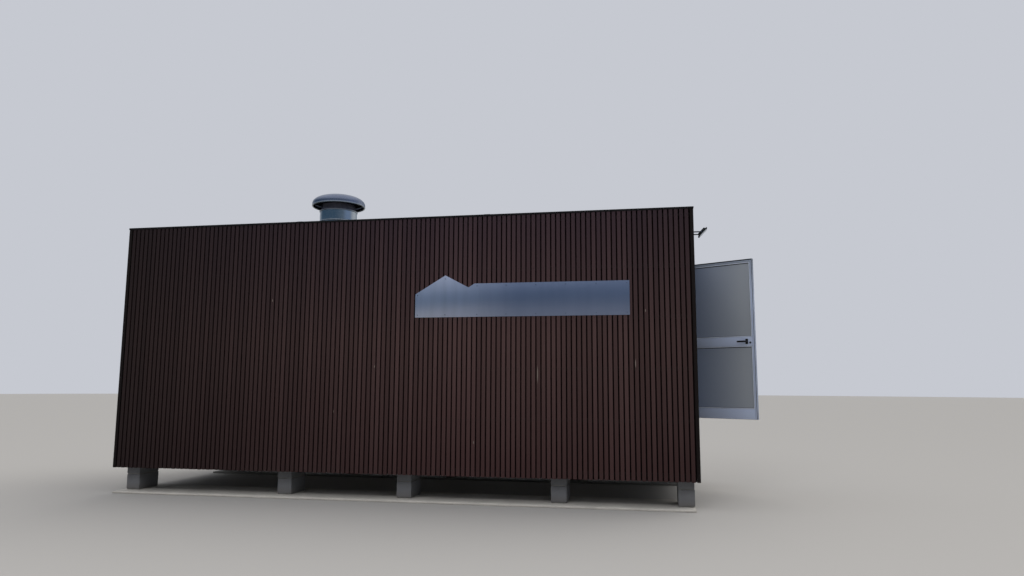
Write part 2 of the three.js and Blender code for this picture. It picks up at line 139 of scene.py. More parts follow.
class PowerhouseColours(bpy.types.PropertyGroup):
    """Colours of the finishes"""
    slat_dark: tone("Slat, dark", "#3b2a28", "Stained slat, its darker grain")
    slat_light: tone("Slat, light", "#5f4846", "Stained slat, its lighter grain")
    slat_top: tone("Slat, high up", "#2b2130", "Darker, cooler tone near the top")
    slat_low: tone("Slat, low down", "#3f2524", "Stain washed redder near the ground")
    # Painted shade: darker stain at both ends of the front
    slat_shade: tone("Slat, painted shade at the ends", "#1e1413", "Painted shade at both ends of the front")
    slat_mark: tone("Slat, chips", "#8d8278", "Small chips and drips that show pale")
    post: tone("Corner post", "#191312", "Nearly black edge post")
    # Painted light: the front footing's paler concrete
    footing: tone("Footing concrete, painted light", "#cdc8be", "Strip footing, painted pale as painted light")
    concrete: tone("Cast concrete", "#85837d", "Floor slab and mortar")
    block: tone("Concrete block", "#77787a", "Pier blocks")
    earth: tone("Splashed earth", "#6b5f50", "What rain splashes onto the foot of the piers")
    shell: tone("Inside panel", "#c4c4bf", "Painted wall and ceiling panels")
    felt: tone("Roofing felt", "#4a4c4d", "Mineral faced felt")
    capping: tone("Capping", "#121012", "Coated sheet along the top")
    leaf_frame: tone("Door frame members", "#cad7f0", "Stiles and rails of the door leaf")
    # Painted shade: the leaf's frame darker towards its head
    leaf_grime: tone("Door frame, grimy", "#9ca7b7", "Grime on the leaf's frame near its head")
    # Painted highlight: the beads' paler coat
    leaf_bead: tone("Door beads", "#dfe8f6", "Beads that hold the infill panels, paler as a painted highlight")
    # Painted shade and light: the door panels darker near the hinges, paler towards the free edge
    leaf_panel: tone("Door panels", "#8593ae", "Infill panels of the door leaf, near the hinges")
    leaf_dust: tone("Door panels, painted light", "#adb4bb", "Painted light that pales the panels towards the free edge")
    jamb: tone("Door jambs", "#9ba1a8", "Anodised frame in the doorway")
    plate: tone("Name plate", "#b6bdd1", "Brushed steel that has dulled a little")
    zinc: tone("Zinc, weathered", "#71798c", "Dull cap and curb of the vent")
    bright_zinc: tone("Zinc, bright", "#9aa2aa", "Neck and rolled edge of the vent, still bright")
    # Painted shade: the dull, dark top of the vent's neck under its cap
    soot: tone("Vent neck, painted shade", "#6e6e7a", "Painted shade on the top of the vent's neck, under its cap")
    # Painted shade: the dark finish under the vent's cap and in its throat
    hollow: tone("Vent hollow", "#1f2226", "Painted shade under the vent's cap and in its throat")
    membrane: tone("Weather membrane", "#1d1314", "Dark sheet behind the slats")
    black: tone("Black fittings", "#0e0f11", "Lever, plates and floodlight")
    glass: tone("Lamp glass", "#e8eef0", "Clear front glass of the floodlight")
    phosphor: tone("Phosphor", "#d8c24a", "Yellow coat over the diodes")
    diode_board: tone("Diode board", "#b9b08a", "Paler board between the diodes")
    stage: tone("Studio floor", "#b4b1ac", "Plain pale floor")
    backdrop: tone("Backdrop", "#c6c9d1", "Plain backdrop all round, as the camera sees it")
    overhead: tone("Light from above", "#f3f5fb", "Soft light straight overhead")
    level: tone("Light from the sides", "#73767e", "Soft light near the floor's edge, a fifth as strong")
    dark_side: tone("Dark side", "#4c687f", "What gloss mirrors low down on the studio's dark side")
    blue_side: tone("Blue side", "#afcdff", "What gloss mirrors low down between the two")
    bright_side: tone("Bright side", "#c9ccd2", "What gloss mirrors low down on its bright side")


def sizes():
    return bpy.context.scene.powerhouse_sizes


def colours():
    return bpy.context.scene.powerhouse_colours


# Modelling


def select_only(*pieces):
    """Leaves only these pieces selected, the first one active."""
    if bpy.context.mode != "OBJECT":
        bpy.ops.object.mode_set(mode="OBJECT")
    bpy.ops.object.select_all(action="DESELECT")
    for piece in pieces:
        piece.select_set(True)
    if pieces:
        bpy.context.view_layer.objects.active = pieces[0]


@contextmanager
def editing(piece):
    """Edit mode with all of a piece selected."""
    select_only(piece)
    bpy.ops.object.mode_set(mode="EDIT")
    bpy.ops.mesh.select_all(action="SELECT")
    yield
    bpy.ops.object.mode_set(mode="OBJECT")


def new_piece(name, data):
    """A new object in the scene, for a mesh, curve, light or camera."""
    piece = bpy.data.objects.new(name, data)
    bpy.context.scene.collection.objects.link(piece)
    return piece


def keep_place(piece):
    """Puts a piece's place, turn and scale into its mesh."""
    select_only(piece)
    bpy.ops.object.transform_apply(location=True, rotation=True, scale=True)


def soften(piece, rounding, segments=1, angle=35):
    """Rounds the edges that are sharper than an angle."""
    if rounding:
        select_only(piece)
        edges = piece.modifiers.new("edges", "BEVEL")
        edges.width = rounding
        edges.segments = segments
        edges.limit_method = "ANGLE"
        edges.angle_limit = math.radians(angle)
        bpy.ops.object.modifier_apply(modifier=edges.name)
    return piece


def block(low, high, finish, rounding=0.0, segments=1):
    """A block between two corners, its edges rounded."""
    low, high = Vector(low), Vector(high)
    select_only()
    bpy.ops.mesh.primitive_cube_add(size=1, location=(low + high) / 2, scale=high - low)
    piece = bpy.context.object
    keep_place(piece)
    piece.data.materials.append(finish)
    return soften(piece, rounding, segments)


def rod(centre, axis, radius, length, finish, sides, rounding=0.0, segments=1):
    """A round bar about its centre, along an axis, its edges rounded."""
    select_only()
    turn = Vector(Z_AXIS).rotation_difference(Vector(axis)).to_euler()
    bpy.ops.mesh.primitive_cylinder_add(
        vertices=sides, radius=radius, depth=length, location=centre, rotation=turn)
    piece = bpy.context.object
    keep_place(piece)
    piece.data.materials.append(finish)
    return soften(piece, rounding, segments)


def along(run, length, across=0.0, up=0.0):
    """A vector from its length along a level axis, 0 for X and 1 for Y, across it and up."""
    return Vector((across, length, up) if run else (length, across, up))


def span_block(run, lengths, depths, heights, finish, rounding, segments=1):
    """A block from its spans along a level axis, across it and up."""
    low, high = [along(run, pick(lengths), pick(depths), pick(heights)) for pick in (min, max)]
    return block(low, high, finish, rounding, segments)


def level_plate(low, high, reach, foot, head, finish, rounding, segments=1):
    """A level plate that reaches past a box on all four sides."""
    return block((low.x - reach, low.y - reach, foot), (high.x + reach, high.y + reach, head),
                 finish, rounding, segments)


def screw(middle, axis, radius, height, sides=12, rounding=0.0004, segments=1):
    """The head of a stainless screw or bolt, about its middle."""
    return rod(middle, axis, radius, height, screw_steel(), sides, rounding, segments)


def arc(middle, reach, first, step, count):
    """Points of an arc, round or oval, from its first angle on in steps, in degrees."""
    angles = [math.radians(first + step * number) for number in range(count)]
    return [(middle[0] + reach[0] * math.cos(angle), middle[1] + reach[1] * math.sin(angle))
            for angle in angles]


def repeat(piece, count, step):
    """Copies a piece in a row, as one mesh."""
    if count < 2:
        return piece
    select_only(piece)
    row = piece.modifiers.new("row", "ARRAY")
    row.count = count
    row.use_relative_offset = False
    row.use_constant_offset = True
    row.constant_offset_displace = step
    bpy.ops.object.modifier_apply(modifier=row.name)
    return piece


def join(pieces):
    """Joins pieces into the first one."""
    select_only(*pieces)
    if len(pieces) > 1:
        bpy.ops.object.join()
    return bpy.context.object


def placed(piece, matrix):
    """Moves a piece by a matrix, into its mesh."""
    piece.matrix_world = matrix @ piece.matrix_world
    keep_place(piece)
    return piece


def copy_of(node, finish, rounding, segments=2, angle=35):
    """A new piece with a node's shape, its loose triangles merged into whole faces, its edges rounded."""
    mesh = NODES[node].data.copy()
    piece = new_piece("shape", mesh)
    with editing(piece):
        bpy.ops.mesh.remove_doubles(threshold=0.00001)
        bpy.ops.mesh.dissolve_limited(angle_limit=math.radians(1))
    if mesh.has_custom_normals:
        bpy.ops.mesh.customdata_custom_splitnormals_clear()
    mesh.materials.clear()
    mesh.materials.append(finish)
    return soften(piece, rounding, segments, angle)


def spun(profile, centre, finish, steps=64):
    """Turns a profile of (radius, height) points about an upright axis; it closes or ends on the axis."""
    mesh = bpy.data.meshes.new("profile")
    x, y = centre
    points = [(x + radius, y, z) for radius, z in profile]
    mesh.from_pydata(points, [(number, number + 1) for number in range(len(points) - 1)], [])
    piece = new_piece("profile", mesh)
    with editing(piece):
        bpy.ops.mesh.spin(steps=steps, angle=2 * math.pi, center=(x, y, 0), axis=Z_AXIS)
        bpy.ops.mesh.select_all(action="SELECT")
        bpy.ops.mesh.remove_doubles(threshold=0.00005)
        bpy.ops.mesh.normals_make_consistent(inside=False)
    mesh.materials.append(finish)
    return piece


def tube(points, radius, finish, sides):
    """A round bar along a bent line, closed at both ends."""
    curve = bpy.data.curves.new("line", "CURVE")
    curve.dimensions = "3D"
    spline = curve.splines.new("POLY")
    spline.points.add(len(points) - 1)
    for point, place in zip(spline.points, points):
        point.co = (*place, 1.0)
    curve.bevel_depth = radius
    curve.bevel_resolution = sides
    curve.use_fill_caps = True
    select_only(new_piece("line", curve))
    bpy.ops.object.convert(target="MESH")
    piece = bpy.context.object
    with editing(piece):
        bpy.ops.mesh.remove_doubles(threshold=0.00001)
        bpy.ops.mesh.normals_make_consistent(inside=False)
    piece.data.materials.clear()
    piece.data.materials.append(finish)
    return piece


def shift_points(piece, move):
    """Moves each point by what move(points) gives."""
    mesh = piece.data
    points = np.zeros(len(mesh.vertices) * 3)
    mesh.vertices.foreach_get("co", points)
    points = points.reshape(-1, 3)
    mesh.vertices.foreach_set("co", (points + move(points)).ravel())
    mesh.update()


def settle(piece, name, body="cabin", smooth=30):
    """Names a finished piece, shades it, and fastens it to its body."""
    keep_place(piece)
    bpy.ops.object.shade_smooth_by_angle(angle=math.radians(smooth))
    piece.name = name
    piece.data.name = name
    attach(piece, body)


def dress(node, form, parts, body="cabin", smooth=30):
    """Joins parts into the finished piece that replaces a node, and names it for the node and its form."""
    piece = join(parts)
    settle(piece, node + "_" + form, body, smooth)
    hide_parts(node)


# Materials


def add_node(tree, kind, values=None, links=None, **settings):
    """Adds a shader node with its settings, its input values and its links."""
    node = tree.nodes.new("ShaderNode" + kind)
    for key, value in settings.items():
        setattr(node, key, value)
    for key, value in (values or {}).items():
        node.inputs[key].default_value = value
    for key, socket in (links or {}).items():
        tree.links.new(socket, node.inputs[key])
    return node


def new_material(name):
    """An empty material, its nodes, and the place of each point on the object."""
    material = bpy.data.materials.new(name)
    material.use_nodes = True
    tree = material.node_tree
    return material, tree, add_node(tree, "TexCoord").outputs["Object"]


def surface(material, constants, body=None, gloss=None, relief=None):
    """Gives the shader its constants, its colour, and its roughness and relief by patterns.

    gloss is the lowest and highest roughness and their pattern, relief a strength, a depth and a pattern.
    """
    tree = material.node_tree
    shader = tree.nodes["Principled BSDF"]
    for socket, value in constants.items():
        shader.inputs[socket].default_value = value
    if body:
        tree.links.new(body, shader.inputs["Base Color"])
    if gloss:
        low, high, pattern = gloss
        rough = add_node(tree, "MapRange", {"To Min": low, "To Max": high}, {"Value": pattern})
        tree.links.new(rough.outputs[0], shader.inputs["Roughness"])
    if relief:
        strength, depth, pattern = relief
        bump = add_node(tree, "Bump", {"Strength": strength, "Distance": depth}, {"Height": pattern})
        tree.links.new(bump.outputs[0], shader.inputs["Normal"])
    return material


def shades(colour, *shares):
    """A colour made darker or lighter by each share."""
    return [(*[min(1.0, channel * share) for channel in colour[:3]], 1.0) for share in shares]


def fade(tree, body, colour, value, start, end, share=1.0, pattern=None):
    """Lays a colour over a body, from nothing where value is start to a share at end, broken by a pattern."""
    cover = add_node(tree, "MapRange", {"From Min": start, "From Max": end, "To Min": 0.0, "To Max": share},
                     {"Value": value})
    if pattern:
        cover = add_node(tree, "Math", links={0: cover.outputs[0], 1: pattern}, operation="MULTIPLY")
    return add_node(tree, "Mix", {7: colour}, {0: cover.outputs[0], 6: body}, data_type="RGBA").outputs[2]


@cache
def stained_softwood(axis, start, pitch, front):
    """Softwood slats in a dark brown stain: faint upright grain, hardly any shine, no two slats alike."""
    material, tree, place = new_material("stained softwood slats " + ("front" if front else "along " + axis))
    mood = colours()
    parts = add_node(tree, "SeparateXYZ", links={0: place})
    run, height = parts.outputs[axis], parts.outputs["Z"]
    number = add_node(tree, "Math", {1: 1 / pitch, 2: -start / pitch}, {0: run}, operation="MULTIPLY_ADD")
    number = add_node(tree, "Math", links={0: number.outputs[0]}, operation="FLOOR")
    own = add_node(tree, "TexWhiteNoise", links={"W": number.outputs[0]}, noise_dimensions="1D")
    # Grain bands about 9 mm apart and half a metre long, drawn coarser than real grain so that they show
    offset = add_node(tree, "CombineXYZ", links={2: number.outputs[0]})
    stretched = add_node(tree, "Mapping", {"Scale": (110, 110, 2.2)}, {"Vector": place})
    shifted = add_node(tree, "VectorMath", links={0: stretched.outputs[0], 1: offset.outputs[0]},
                       operation="ADD")
    grain = add_node(tree, "TexNoise", {"Scale": 1.0, "Detail": 4.0, "Roughness": 0.65},
                     {"Vector": shifted.outputs[0]}).outputs["Fac"]
    weather = add_node(tree, "TexNoise", {"Scale": 0.9, "Detail": 3.0}, {"Vector": place}).outputs["Fac"]
    mixed = add_node(tree, "Math", {1: 0.45}, {0: own.outputs["Value"]}, operation="MULTIPLY")
    mixed = add_node(tree, "Math", {1: 0.55}, {0: grain, 2: mixed.outputs[0]}, operation="MULTIPLY_ADD")
    body = add_node(tree, "Mix", {6: mood.slat_dark, 7: mood.slat_light}, {0: mixed.outputs[0]},
                    data_type="RGBA").outputs[2]
    # Cooler towards the top, redder in patches towards the ground
    body = fade(tree, body, mood.slat_top, height, 2.0, 3.6, 0.6)
    body = fade(tree, body, mood.slat_low, height, 1.9, 0.5, 0.9, weather)
    if front:
        # Painted shade towards both ends of the front, then the pale chips
        body = fade(tree, body, mood.slat_shade, run, 0.6, -3.8, 0.85)
        body = fade(tree, body, mood.slat_shade, run, 2.7, 3.7, 0.3)
        for x, z, half_height in CHIPS:
            away = add_node(tree, "VectorMath", {1: (x, 0, z)}, {0: place}, operation="SUBTRACT")
            away = add_node(tree, "VectorMath", {1: (1 / CHIP_HALF_WIDTH, 0, 1 / half_height)},
                            {0: away.outputs[0]}, operation="MULTIPLY")
            away = add_node(tree, "VectorMath", links={0: away.outputs[0]}, operation="LENGTH")
            body = fade(tree, body, mood.slat_mark, away.outputs["Value"], 1.0, 0.5, 0.75)
    return surface(material, {"Specular IOR Level": 0.25}, body, (0.62, 0.85, grain), (0.35, 0.0008, grain))


@cache
def plain_finish(name, colour, roughness, metallic, grit_mm, unevenness, shine=0.5):
    """A coating or cast surface: fine grit in the bump, slow clouding in its tone and gloss."""
    material, tree, place = new_material(name)
    grit = add_node(tree, "TexNoise", {"Scale": 1000 / grit_mm, "Detail": 2.0}, {"Vector": place})
    cloud = add_node(tree, "TexNoise", {"Scale": 1.7, "Detail": 5.0, "Roughness": 0.6}, {"Vector": place})
    darker, lighter = shades(getattr(colours(), colour), 1 - unevenness, 1 + unevenness)
    body = add_node(tree, "Mix", {6: darker, 7: lighter}, {0: cloud.outputs["Fac"]}, data_type="RGBA")
    return surface(material, {"Metallic": metallic, "Specular IOR Level": shine}, body.outputs[2],
                   (roughness - 0.08, roughness + 0.08, cloud.outputs["Fac"]),
                   (0.2, grit_mm / 4000, grit.outputs["Fac"]))


@cache
def lit_strip_concrete():
    """Site-cast concrete, painted pale as painted light: cloudy, dull, with pores and trodden specks of
    gravel.
    """
    return rough_concrete("site cast concrete, dusty", colours().footing, 0.35, 22.0)


@cache
def cast_concrete():
    """Trowelled and weathered concrete: cloudy grey, dull, with pores and sand grit."""
    return rough_concrete("cast concrete", colours().concrete, 0.35, 14.0)


@cache
def block_concrete():
    """Pressed aggregate block: open, gritty faces with dark pores a few millimetres across."""
    return rough_concrete("concrete block", colours().block, 0.55, 6.0, splash_share=0.35)


def rough_concrete(name, base, pore_share, pore_mm, splash_share=0.0):
    """Bare concrete: cloudy and dull, darker in its pores as painted shade, and gritty to the light."""
    material, tree, place = new_material(name)
    cloud = add_node(tree, "TexNoise", {"Scale": 3.0, "Detail": 6.0, "Roughness": 0.65}, {"Vector": place})
    grit = add_node(tree, "TexNoise", {"Scale": 420.0, "Detail": 3.0}, {"Vector": place})
    pores = add_node(tree, "TexVoronoi", {"Scale": 1000 / pore_mm}, {"Vector": place}).outputs["Distance"]
    deep, darker, lighter = shades(base, 0.4, 0.72, 1.18)
    body = add_node(tree, "Mix", {6: darker, 7: lighter}, {0: cloud.outputs["Fac"]}, data_type="RGBA")
    # The pores are darkened as painted shade in the holes
    pore_edge, pore_bottom = 0.3, 0.08
    body = fade(tree, body.outputs[2], deep, pores, pore_edge, pore_bottom, pore_share)
    if splash_share:
        # Splashed earth makes the lowest 10 cm above the footing a little browner
        height = add_node(tree, "SeparateXYZ", links={0: place}).outputs["Z"]
        body = fade(tree, body, colours().earth, height, 0.125, 0.025, splash_share)
    hole = add_node(tree, "MapRange", {"From Min": pore_edge, "From Max": pore_bottom}, {"Value": pores})
    relief = add_node(tree, "Math", links={0: grit.outputs["Fac"], 1: hole.outputs[0]}, operation="SUBTRACT")
    return surface(material, {"Roughness": 0.92}, body, relief=(0.6, 0.0015, relief.outputs[0]))


@cache
def brushed_steel():
    """Stainless sheet brushed lengthways: long fine lines, slightly dulled, faint water marks."""
    material, tree, place = new_material("brushed stainless sheet")
    base = colours().plate
    # Brush lines are drawn 3 mm apart and a third of a metre long, coarser than real ones, so that they show
    stretched = add_node(tree, "Mapping", {"Scale": (3, 330, 330)}, {"Vector": place})
    lines = add_node(tree, "TexNoise", {"Scale": 1.0, "Detail": 3.0}, {"Vector": stretched.outputs[0]})
    runs = add_node(tree, "Mapping", {"Scale": (9, 1, 0.8)}, {"Vector": place})
    marks = add_node(tree, "TexNoise", {"Scale": 1.0, "Detail": 4.0}, {"Vector": runs.outputs[0]})
    darker, lighter = shades(base, 0.8, 1.2)
    body = add_node(tree, "Mix", {6: darker, 7: lighter}, {0: marks.outputs["Fac"]}, data_type="RGBA")
    # Painted shade in place of a darker reflection: past the left end a bluish tone thickens over the next
    # metre
    left_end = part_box("name_plate")[0].x
    run = add_node(tree, "SeparateXYZ", links={0: place}).outputs["X"]
    plate_shade = (*[channel * share for channel, share in zip(base, (0.36, 0.42, 0.52))], 1.0)
    body = fade(tree, body.outputs[2], plate_shade, run, left_end + 0.3, left_end + 1.3, 0.8)
    return surface(material, {"Metallic": 1.0}, body, (0.3, 0.5, lines.outputs["Fac"]),
                   (0.12, 0.0004, lines.outputs["Fac"]))


@cache
def galvanised_sheet(name, colour, dullness):
    """Hot-dip zinc on sheet steel: blue grey crystals about 14 mm across, duller with age."""
    material, tree, place = new_material(name)
    crystals = add_node(tree, "TexVoronoi", {"Scale": 70.0}, {"Vector": place})
    cell = add_node(tree, "SeparateColor", links={0: crystals.outputs["Color"]})
    cloud = add_node(tree, "TexNoise", {"Scale": 4.0, "Detail": 5.0}, {"Vector": place})
    blend = add_node(tree, "Math", {1: 0.25}, {0: cell.outputs[0], 2: cloud.outputs["Fac"]},
                     operation="MULTIPLY_ADD")
    darker, lighter = shades(getattr(colours(), colour), 0.8, 1.14)
    body = add_node(tree, "Mix", {6: darker, 7: lighter}, {0: blend.outputs[0]}, data_type="RGBA")
    return surface(material, {"Metallic": 0.95}, body.outputs[2],
                   (dullness, dullness + 0.06, cell.outputs[1]))


def weathered_zinc():
    """Zinc years in the rain: darker, its reflections soft."""
    return galvanised_sheet("galvanised sheet, weathered", "zinc", 0.26)


def bright_zinc():
    """Zinc still bright, its reflections nearly sharp: sheltered by the cap on the neck, a painted highlight
    on the cap's rolled edge.
    """
    return galvanised_sheet("galvanised sheet, bright", "bright_zinc", 0.15)


def matt_zinc():
    """Zinc on the curb: pale and matt, with hardly a reflection."""
    return galvanised_sheet("galvanised sheet, matt", "bright_zinc", 0.34)


@cache
def panel_coat_painted_shade():
    """Powder coat on the door's infill panels: satin, fine orange peel, in painted shade near the hinges and
    paler towards the free edge as painted light.
    """
    material, tree, place = new_material("powder coat door panel, dusty")
    mood = colours()
    hinge = joint_place("door_hinge")[0]
    leaf_way = door_turn().to_3x3() @ Vector((0, -1, 0))
    away = add_node(tree, "VectorMath", {1: hinge}, {0: place}, operation="SUBTRACT")
    away = add_node(tree, "VectorMath", {1: leaf_way}, {0: away.outputs[0]}, operation="DOT_PRODUCT")
    # Painted shade near the hinges, fading to painted light towards the free edge
    dust_and_painted_light = add_node(tree, "MapRange", {"From Min": 0.05, "From Max": 0.85}, {"Value": away.outputs["Value"]})
    cloud = add_node(tree, "TexNoise", {"Scale": 2.2, "Detail": 5.0, "Roughness": 0.6}, {"Vector": place})
    uneven = add_node(tree, "Math", {1: 0.12, 2: -0.06}, {0: cloud.outputs["Fac"]}, operation="MULTIPLY_ADD")
    share = add_node(tree, "Math", links={0: dust_and_painted_light.outputs[0], 1: uneven.outputs[0]}, operation="ADD")
    body = add_node(tree, "Mix", {6: mood.leaf_panel, 7: mood.leaf_dust}, {0: share.outputs[0]},
                    data_type="RGBA")
    peel = add_node(tree, "TexNoise", {"Scale": 1000 / 1.6, "Detail": 2.0}, {"Vector": place})
    return surface(material, {"Roughness": 0.36}, body.outputs[2], relief=(0.2, 0.0004, peel.outputs["Fac"]))


@cache
def frame_coat():
    """Powder coat on the leaf's frame: satin, with fine orange peel, darkened by painted shade towards its
    head.
    """
    material = plain_finish("powder coat door frame", "leaf_frame", 0.32, 0.0, 1.6, 0.05)
    tree = material.node_tree
    unshaded_frame = tree.nodes["Principled BSDF"].inputs["Base Color"].links[0].from_socket
    place = add_node(tree, "TexCoord").outputs["Object"]
    height = add_node(tree, "SeparateXYZ", links={0: place}).outputs["Z"]
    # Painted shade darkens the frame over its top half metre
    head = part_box("door_leaf")[1].z
    return surface(material, {}, fade(tree, unshaded_frame, colours().leaf_grime, height, head - 0.5, head - 0.03))


def bead_paint_highlight():
    """Powder coat on the door's beads: paler as a painted highlight, and a little glossier."""
    return plain_finish("powder coat door beads", "leaf_bead", 0.3, 0.0, 1.6, 0.04)


def anodised_jamb():
    """Satin anodised aluminium: soft, even reflections under a clear skin."""
    return plain_finish("anodised aluminium", "jamb", 0.4, 0.75, 1.2, 0.05)


def corner_post_wood():
    """Softwood post in a nearly black stain: matt, so that it closes the slats with a dark line."""
    return plain_finish("dark stained edge post", "post", 0.8, 0.0, 5.0, 0.2, 0.2)


def backing_sheet():
    """Black weather membrane on its board, behind the slats: matt, so that the gaps read as dark lines."""
    return plain_finish("black weather membrane", "membrane", 0.9, 0.0, 3.0, 0.1, 0.15)


def painted_panel():
    """Painted sheet on the inside walls: light grey, satin and very even."""
    return plain_finish("painted sheet panel", "shell", 0.5, 0.0, 4.0, 0.04)


def roofing_felt():
    """Felt under mineral chips: dark grey, quite dull, grainy."""
    return plain_finish("mineral roofing felt", "felt", 0.92, 0.0, 2.5, 0.18)


def coated_capping():
    """Sheet in a polyester coat: nearly black, with a low, even sheen."""
    return plain_finish("polyester coated sheet", "capping", 0.6, 0.0, 2.0, 0.12, 0.25)


def black_coating():
    """Powder coated fittings: black, with a satin glint along their edges."""
    return plain_finish("satin black coating", "black", 0.42, 0.0, 1.5, 0.1)


def shaded_neck_zinc():
    """Zinc painted dull and dark as the shade under the cap: its metal shine nearly gone."""
    return plain_finish("galvanised sheet under a film of soot", "soot", 0.6, 0.3, 3.0, 0.2, 0.3)


def cap_shade_finish():
    """Sheet under the cap and the throat's core, painted dark and dull as shade."""
    return plain_finish("dusty sheet under the cap", "hollow", 0.8, 0.0, 3.0, 0.2, 0.2)


def screw_steel():
    """Stainless screw heads: small grey glints."""
    return plain_finish("stainless screw heads", "zinc", 0.35, 1.0, 1.0, 0.1)


def rubber_seal():
    """Black extruded rubber: matt with a faint bloom."""
    return plain_finish("extruded rubber seal", "black", 0.75, 0.0, 1.0, 0.2)


@cache
def lamp_glass():
    """Toughened front glass: smooth and clear, with a plain reflection and a trace of dust."""
    material, tree, place = new_material("toughened glass")
    dust_and_painted_light = add_node(tree, "TexNoise", {"Scale": 30.0, "Detail": 4.0}, {"Vector": place})
    constants = {"Base Color": colours().glass, "Roughness": 0.06, "Transmission Weight": 0.9, "IOR": 1.5}
    return surface(material, constants, relief=(0.03, 0.0005, dust_and_painted_light.outputs["Fac"]))


@cache
def light_source():
    """Yellow phosphor over an array of diodes about 5.5 mm apart, unlit: pale dots on a dull square."""
    material, tree, place = new_material("diode phosphor")
    mood = colours()
    dots = add_node(tree, "TexVoronoi", {"Scale": 180.0, "Randomness": 0.0}, {"Vector": place})
    body = add_node(tree, "Mix", {6: mood.phosphor, 7: mood.diode_board}, {0: dots.outputs["Distance"]},
                    data_type="RGBA")
    return surface(material, {"Roughness": 0.5}, body.outputs[2])


# Pieces


def slat_grid(low, high):
    """Start and pitch that fill a run with whole slats and equal gaps, a gap at both ends."""
    given = sizes()
    gaps = round((high - low + given.slat_width) / given.slat_pitch)
    pitch = (high - low + given.slat_width) / gaps
    return low + pitch - given.slat_width, pitch


def slat_panel(node, run, out, grid, posts):
    """One clad side or part of it. run is the level axis of the slats, out the outward sign across it."""
    given = sizes()
    low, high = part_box(node)
    deep = 1 - run
    start, pitch = grid
    inner, outer = (low[deep], high[deep]) if out > 0 else (high[deep], low[deep])
    back = outer - out * given.slat_thick
    heights = (low.z, high.z)
    margin = given.post_width if posts else 0.0
    run_low, run_high = low[run] + margin, high[run] - margin
    wood = stained_softwood("XY"[run], start, pitch, node == "front_cladding")

    spans = []
    for number in range(math.floor((run_low - start) / pitch), math.ceil((run_high - start) / pitch)):
        slat_low = start + number * pitch
        span = max(slat_low, run_low), min(slat_low + given.slat_width, run_high)
        if span[1] - span[0] > given.thinnest_slat:
            spans.append(span)
    tolerance = 0.0005
    whole = [span for span in spans if span[1] - span[0] > given.slat_width - tolerance]

    def slat(span):
        return span_block(run, span, (outer, back), heights, wood, rounding=0.0022)

    def settle_slats(points):
        """Each slat is cut a little longer or shorter and stands a little proud or shy."""
        which = np.floor((points[:, run] - whole[0][0] + 2 * tolerance) / pitch).astype(int)
        chance = np.random.default_rng(len(whole) + run)
        longest, shortest, most_proud = -0.0005, 0.0035, 0.0006
        ends = chance.uniform(longest, shortest, len(whole) + 1)
        proud = chance.uniform(-most_proud, most_proud, len(whole) + 1)
        move = np.zeros_like(points)
        at_foot = points[:, 2] < (low.z + high.z) / 2
        move[at_foot, 2] = ends[which[at_foot]]
        move[:, deep] = proud[which]
        return move

    step = along(run, pitch)
    slats = repeat(slat(whole[0]), len(whole), step)
    shift_points(slats, settle_slats)
    parts = [slats] + [slat(span) for span in spans if span not in whole]
    post_wood = corner_post_wood()
    if posts:
        for span in ((low[run], run_low), (run_high, high[run])):
            parts.append(span_block(run, span, (outer, inner), heights, post_wood, 0.003, 2))

    sheet_thick, head_gap = 0.002, 0.004
    sheet_face = inner + out * sheet_thick
    parts.append(span_block(run, (run_low, run_high), (inner, sheet_face),
                            (low.z + sheet_thick, high.z - head_gap), backing_sheet(), rounding=0.0004))
    batten_margin, half = 0.07, given.batten_height / 2
    foot, head = low.z + batten_margin, high.z - batten_margin
    rows = max(2, round((head - foot) / given.batten_pitch) + 1)
    rise = (0, 0, (head - foot) / (rows - 1))
    batten = span_block(run, (run_low, run_high), (sheet_face, back), (foot - half, foot + half), post_wood,
                        rounding=0.002)
    parts.append(repeat(batten, rows, rise))
    screw_radius, screw_height, stands_off = 0.0042, 0.0014, 0.0002
    centre = along(run, sum(whole[0]) / 2, outer + out * stands_off, foot)
    head_of_screw = rod(centre, along(run, 0.0, out), screw_radius, screw_height, black_coating(), 8,
                        rounding=0.0004)
    parts.append(repeat(repeat(head_of_screw, len(whole), step), rows, rise))
    dress(node, "slats", parts)


class POWERHOUSE_OT_cladding(bpy.types.Operator):
    """Slats, battens, corner posts and screws on all four sides"""
    bl_idname = "powerhouse.cladding"
    bl_label = "Cladding"

    def execute(self, context):
        margin = sizes().post_width
        for node, out in (("front_cladding", -1), ("back_cladding", 1)):
            low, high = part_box(node)
            slat_panel(node, 0, out, slat_grid(low.x + margin, high.x - margin), posts=True)
        low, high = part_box("left_cladding")
        grid = slat_grid(low.y, high.y)
        slat_panel("left_cladding", 1, -1, grid, posts=False)
        for part in ("front", "back", "over_door", "under_door"):
            slat_panel("right_cladding_" + part, 1, 1, grid, posts=False)
        return {"FINISHED"}


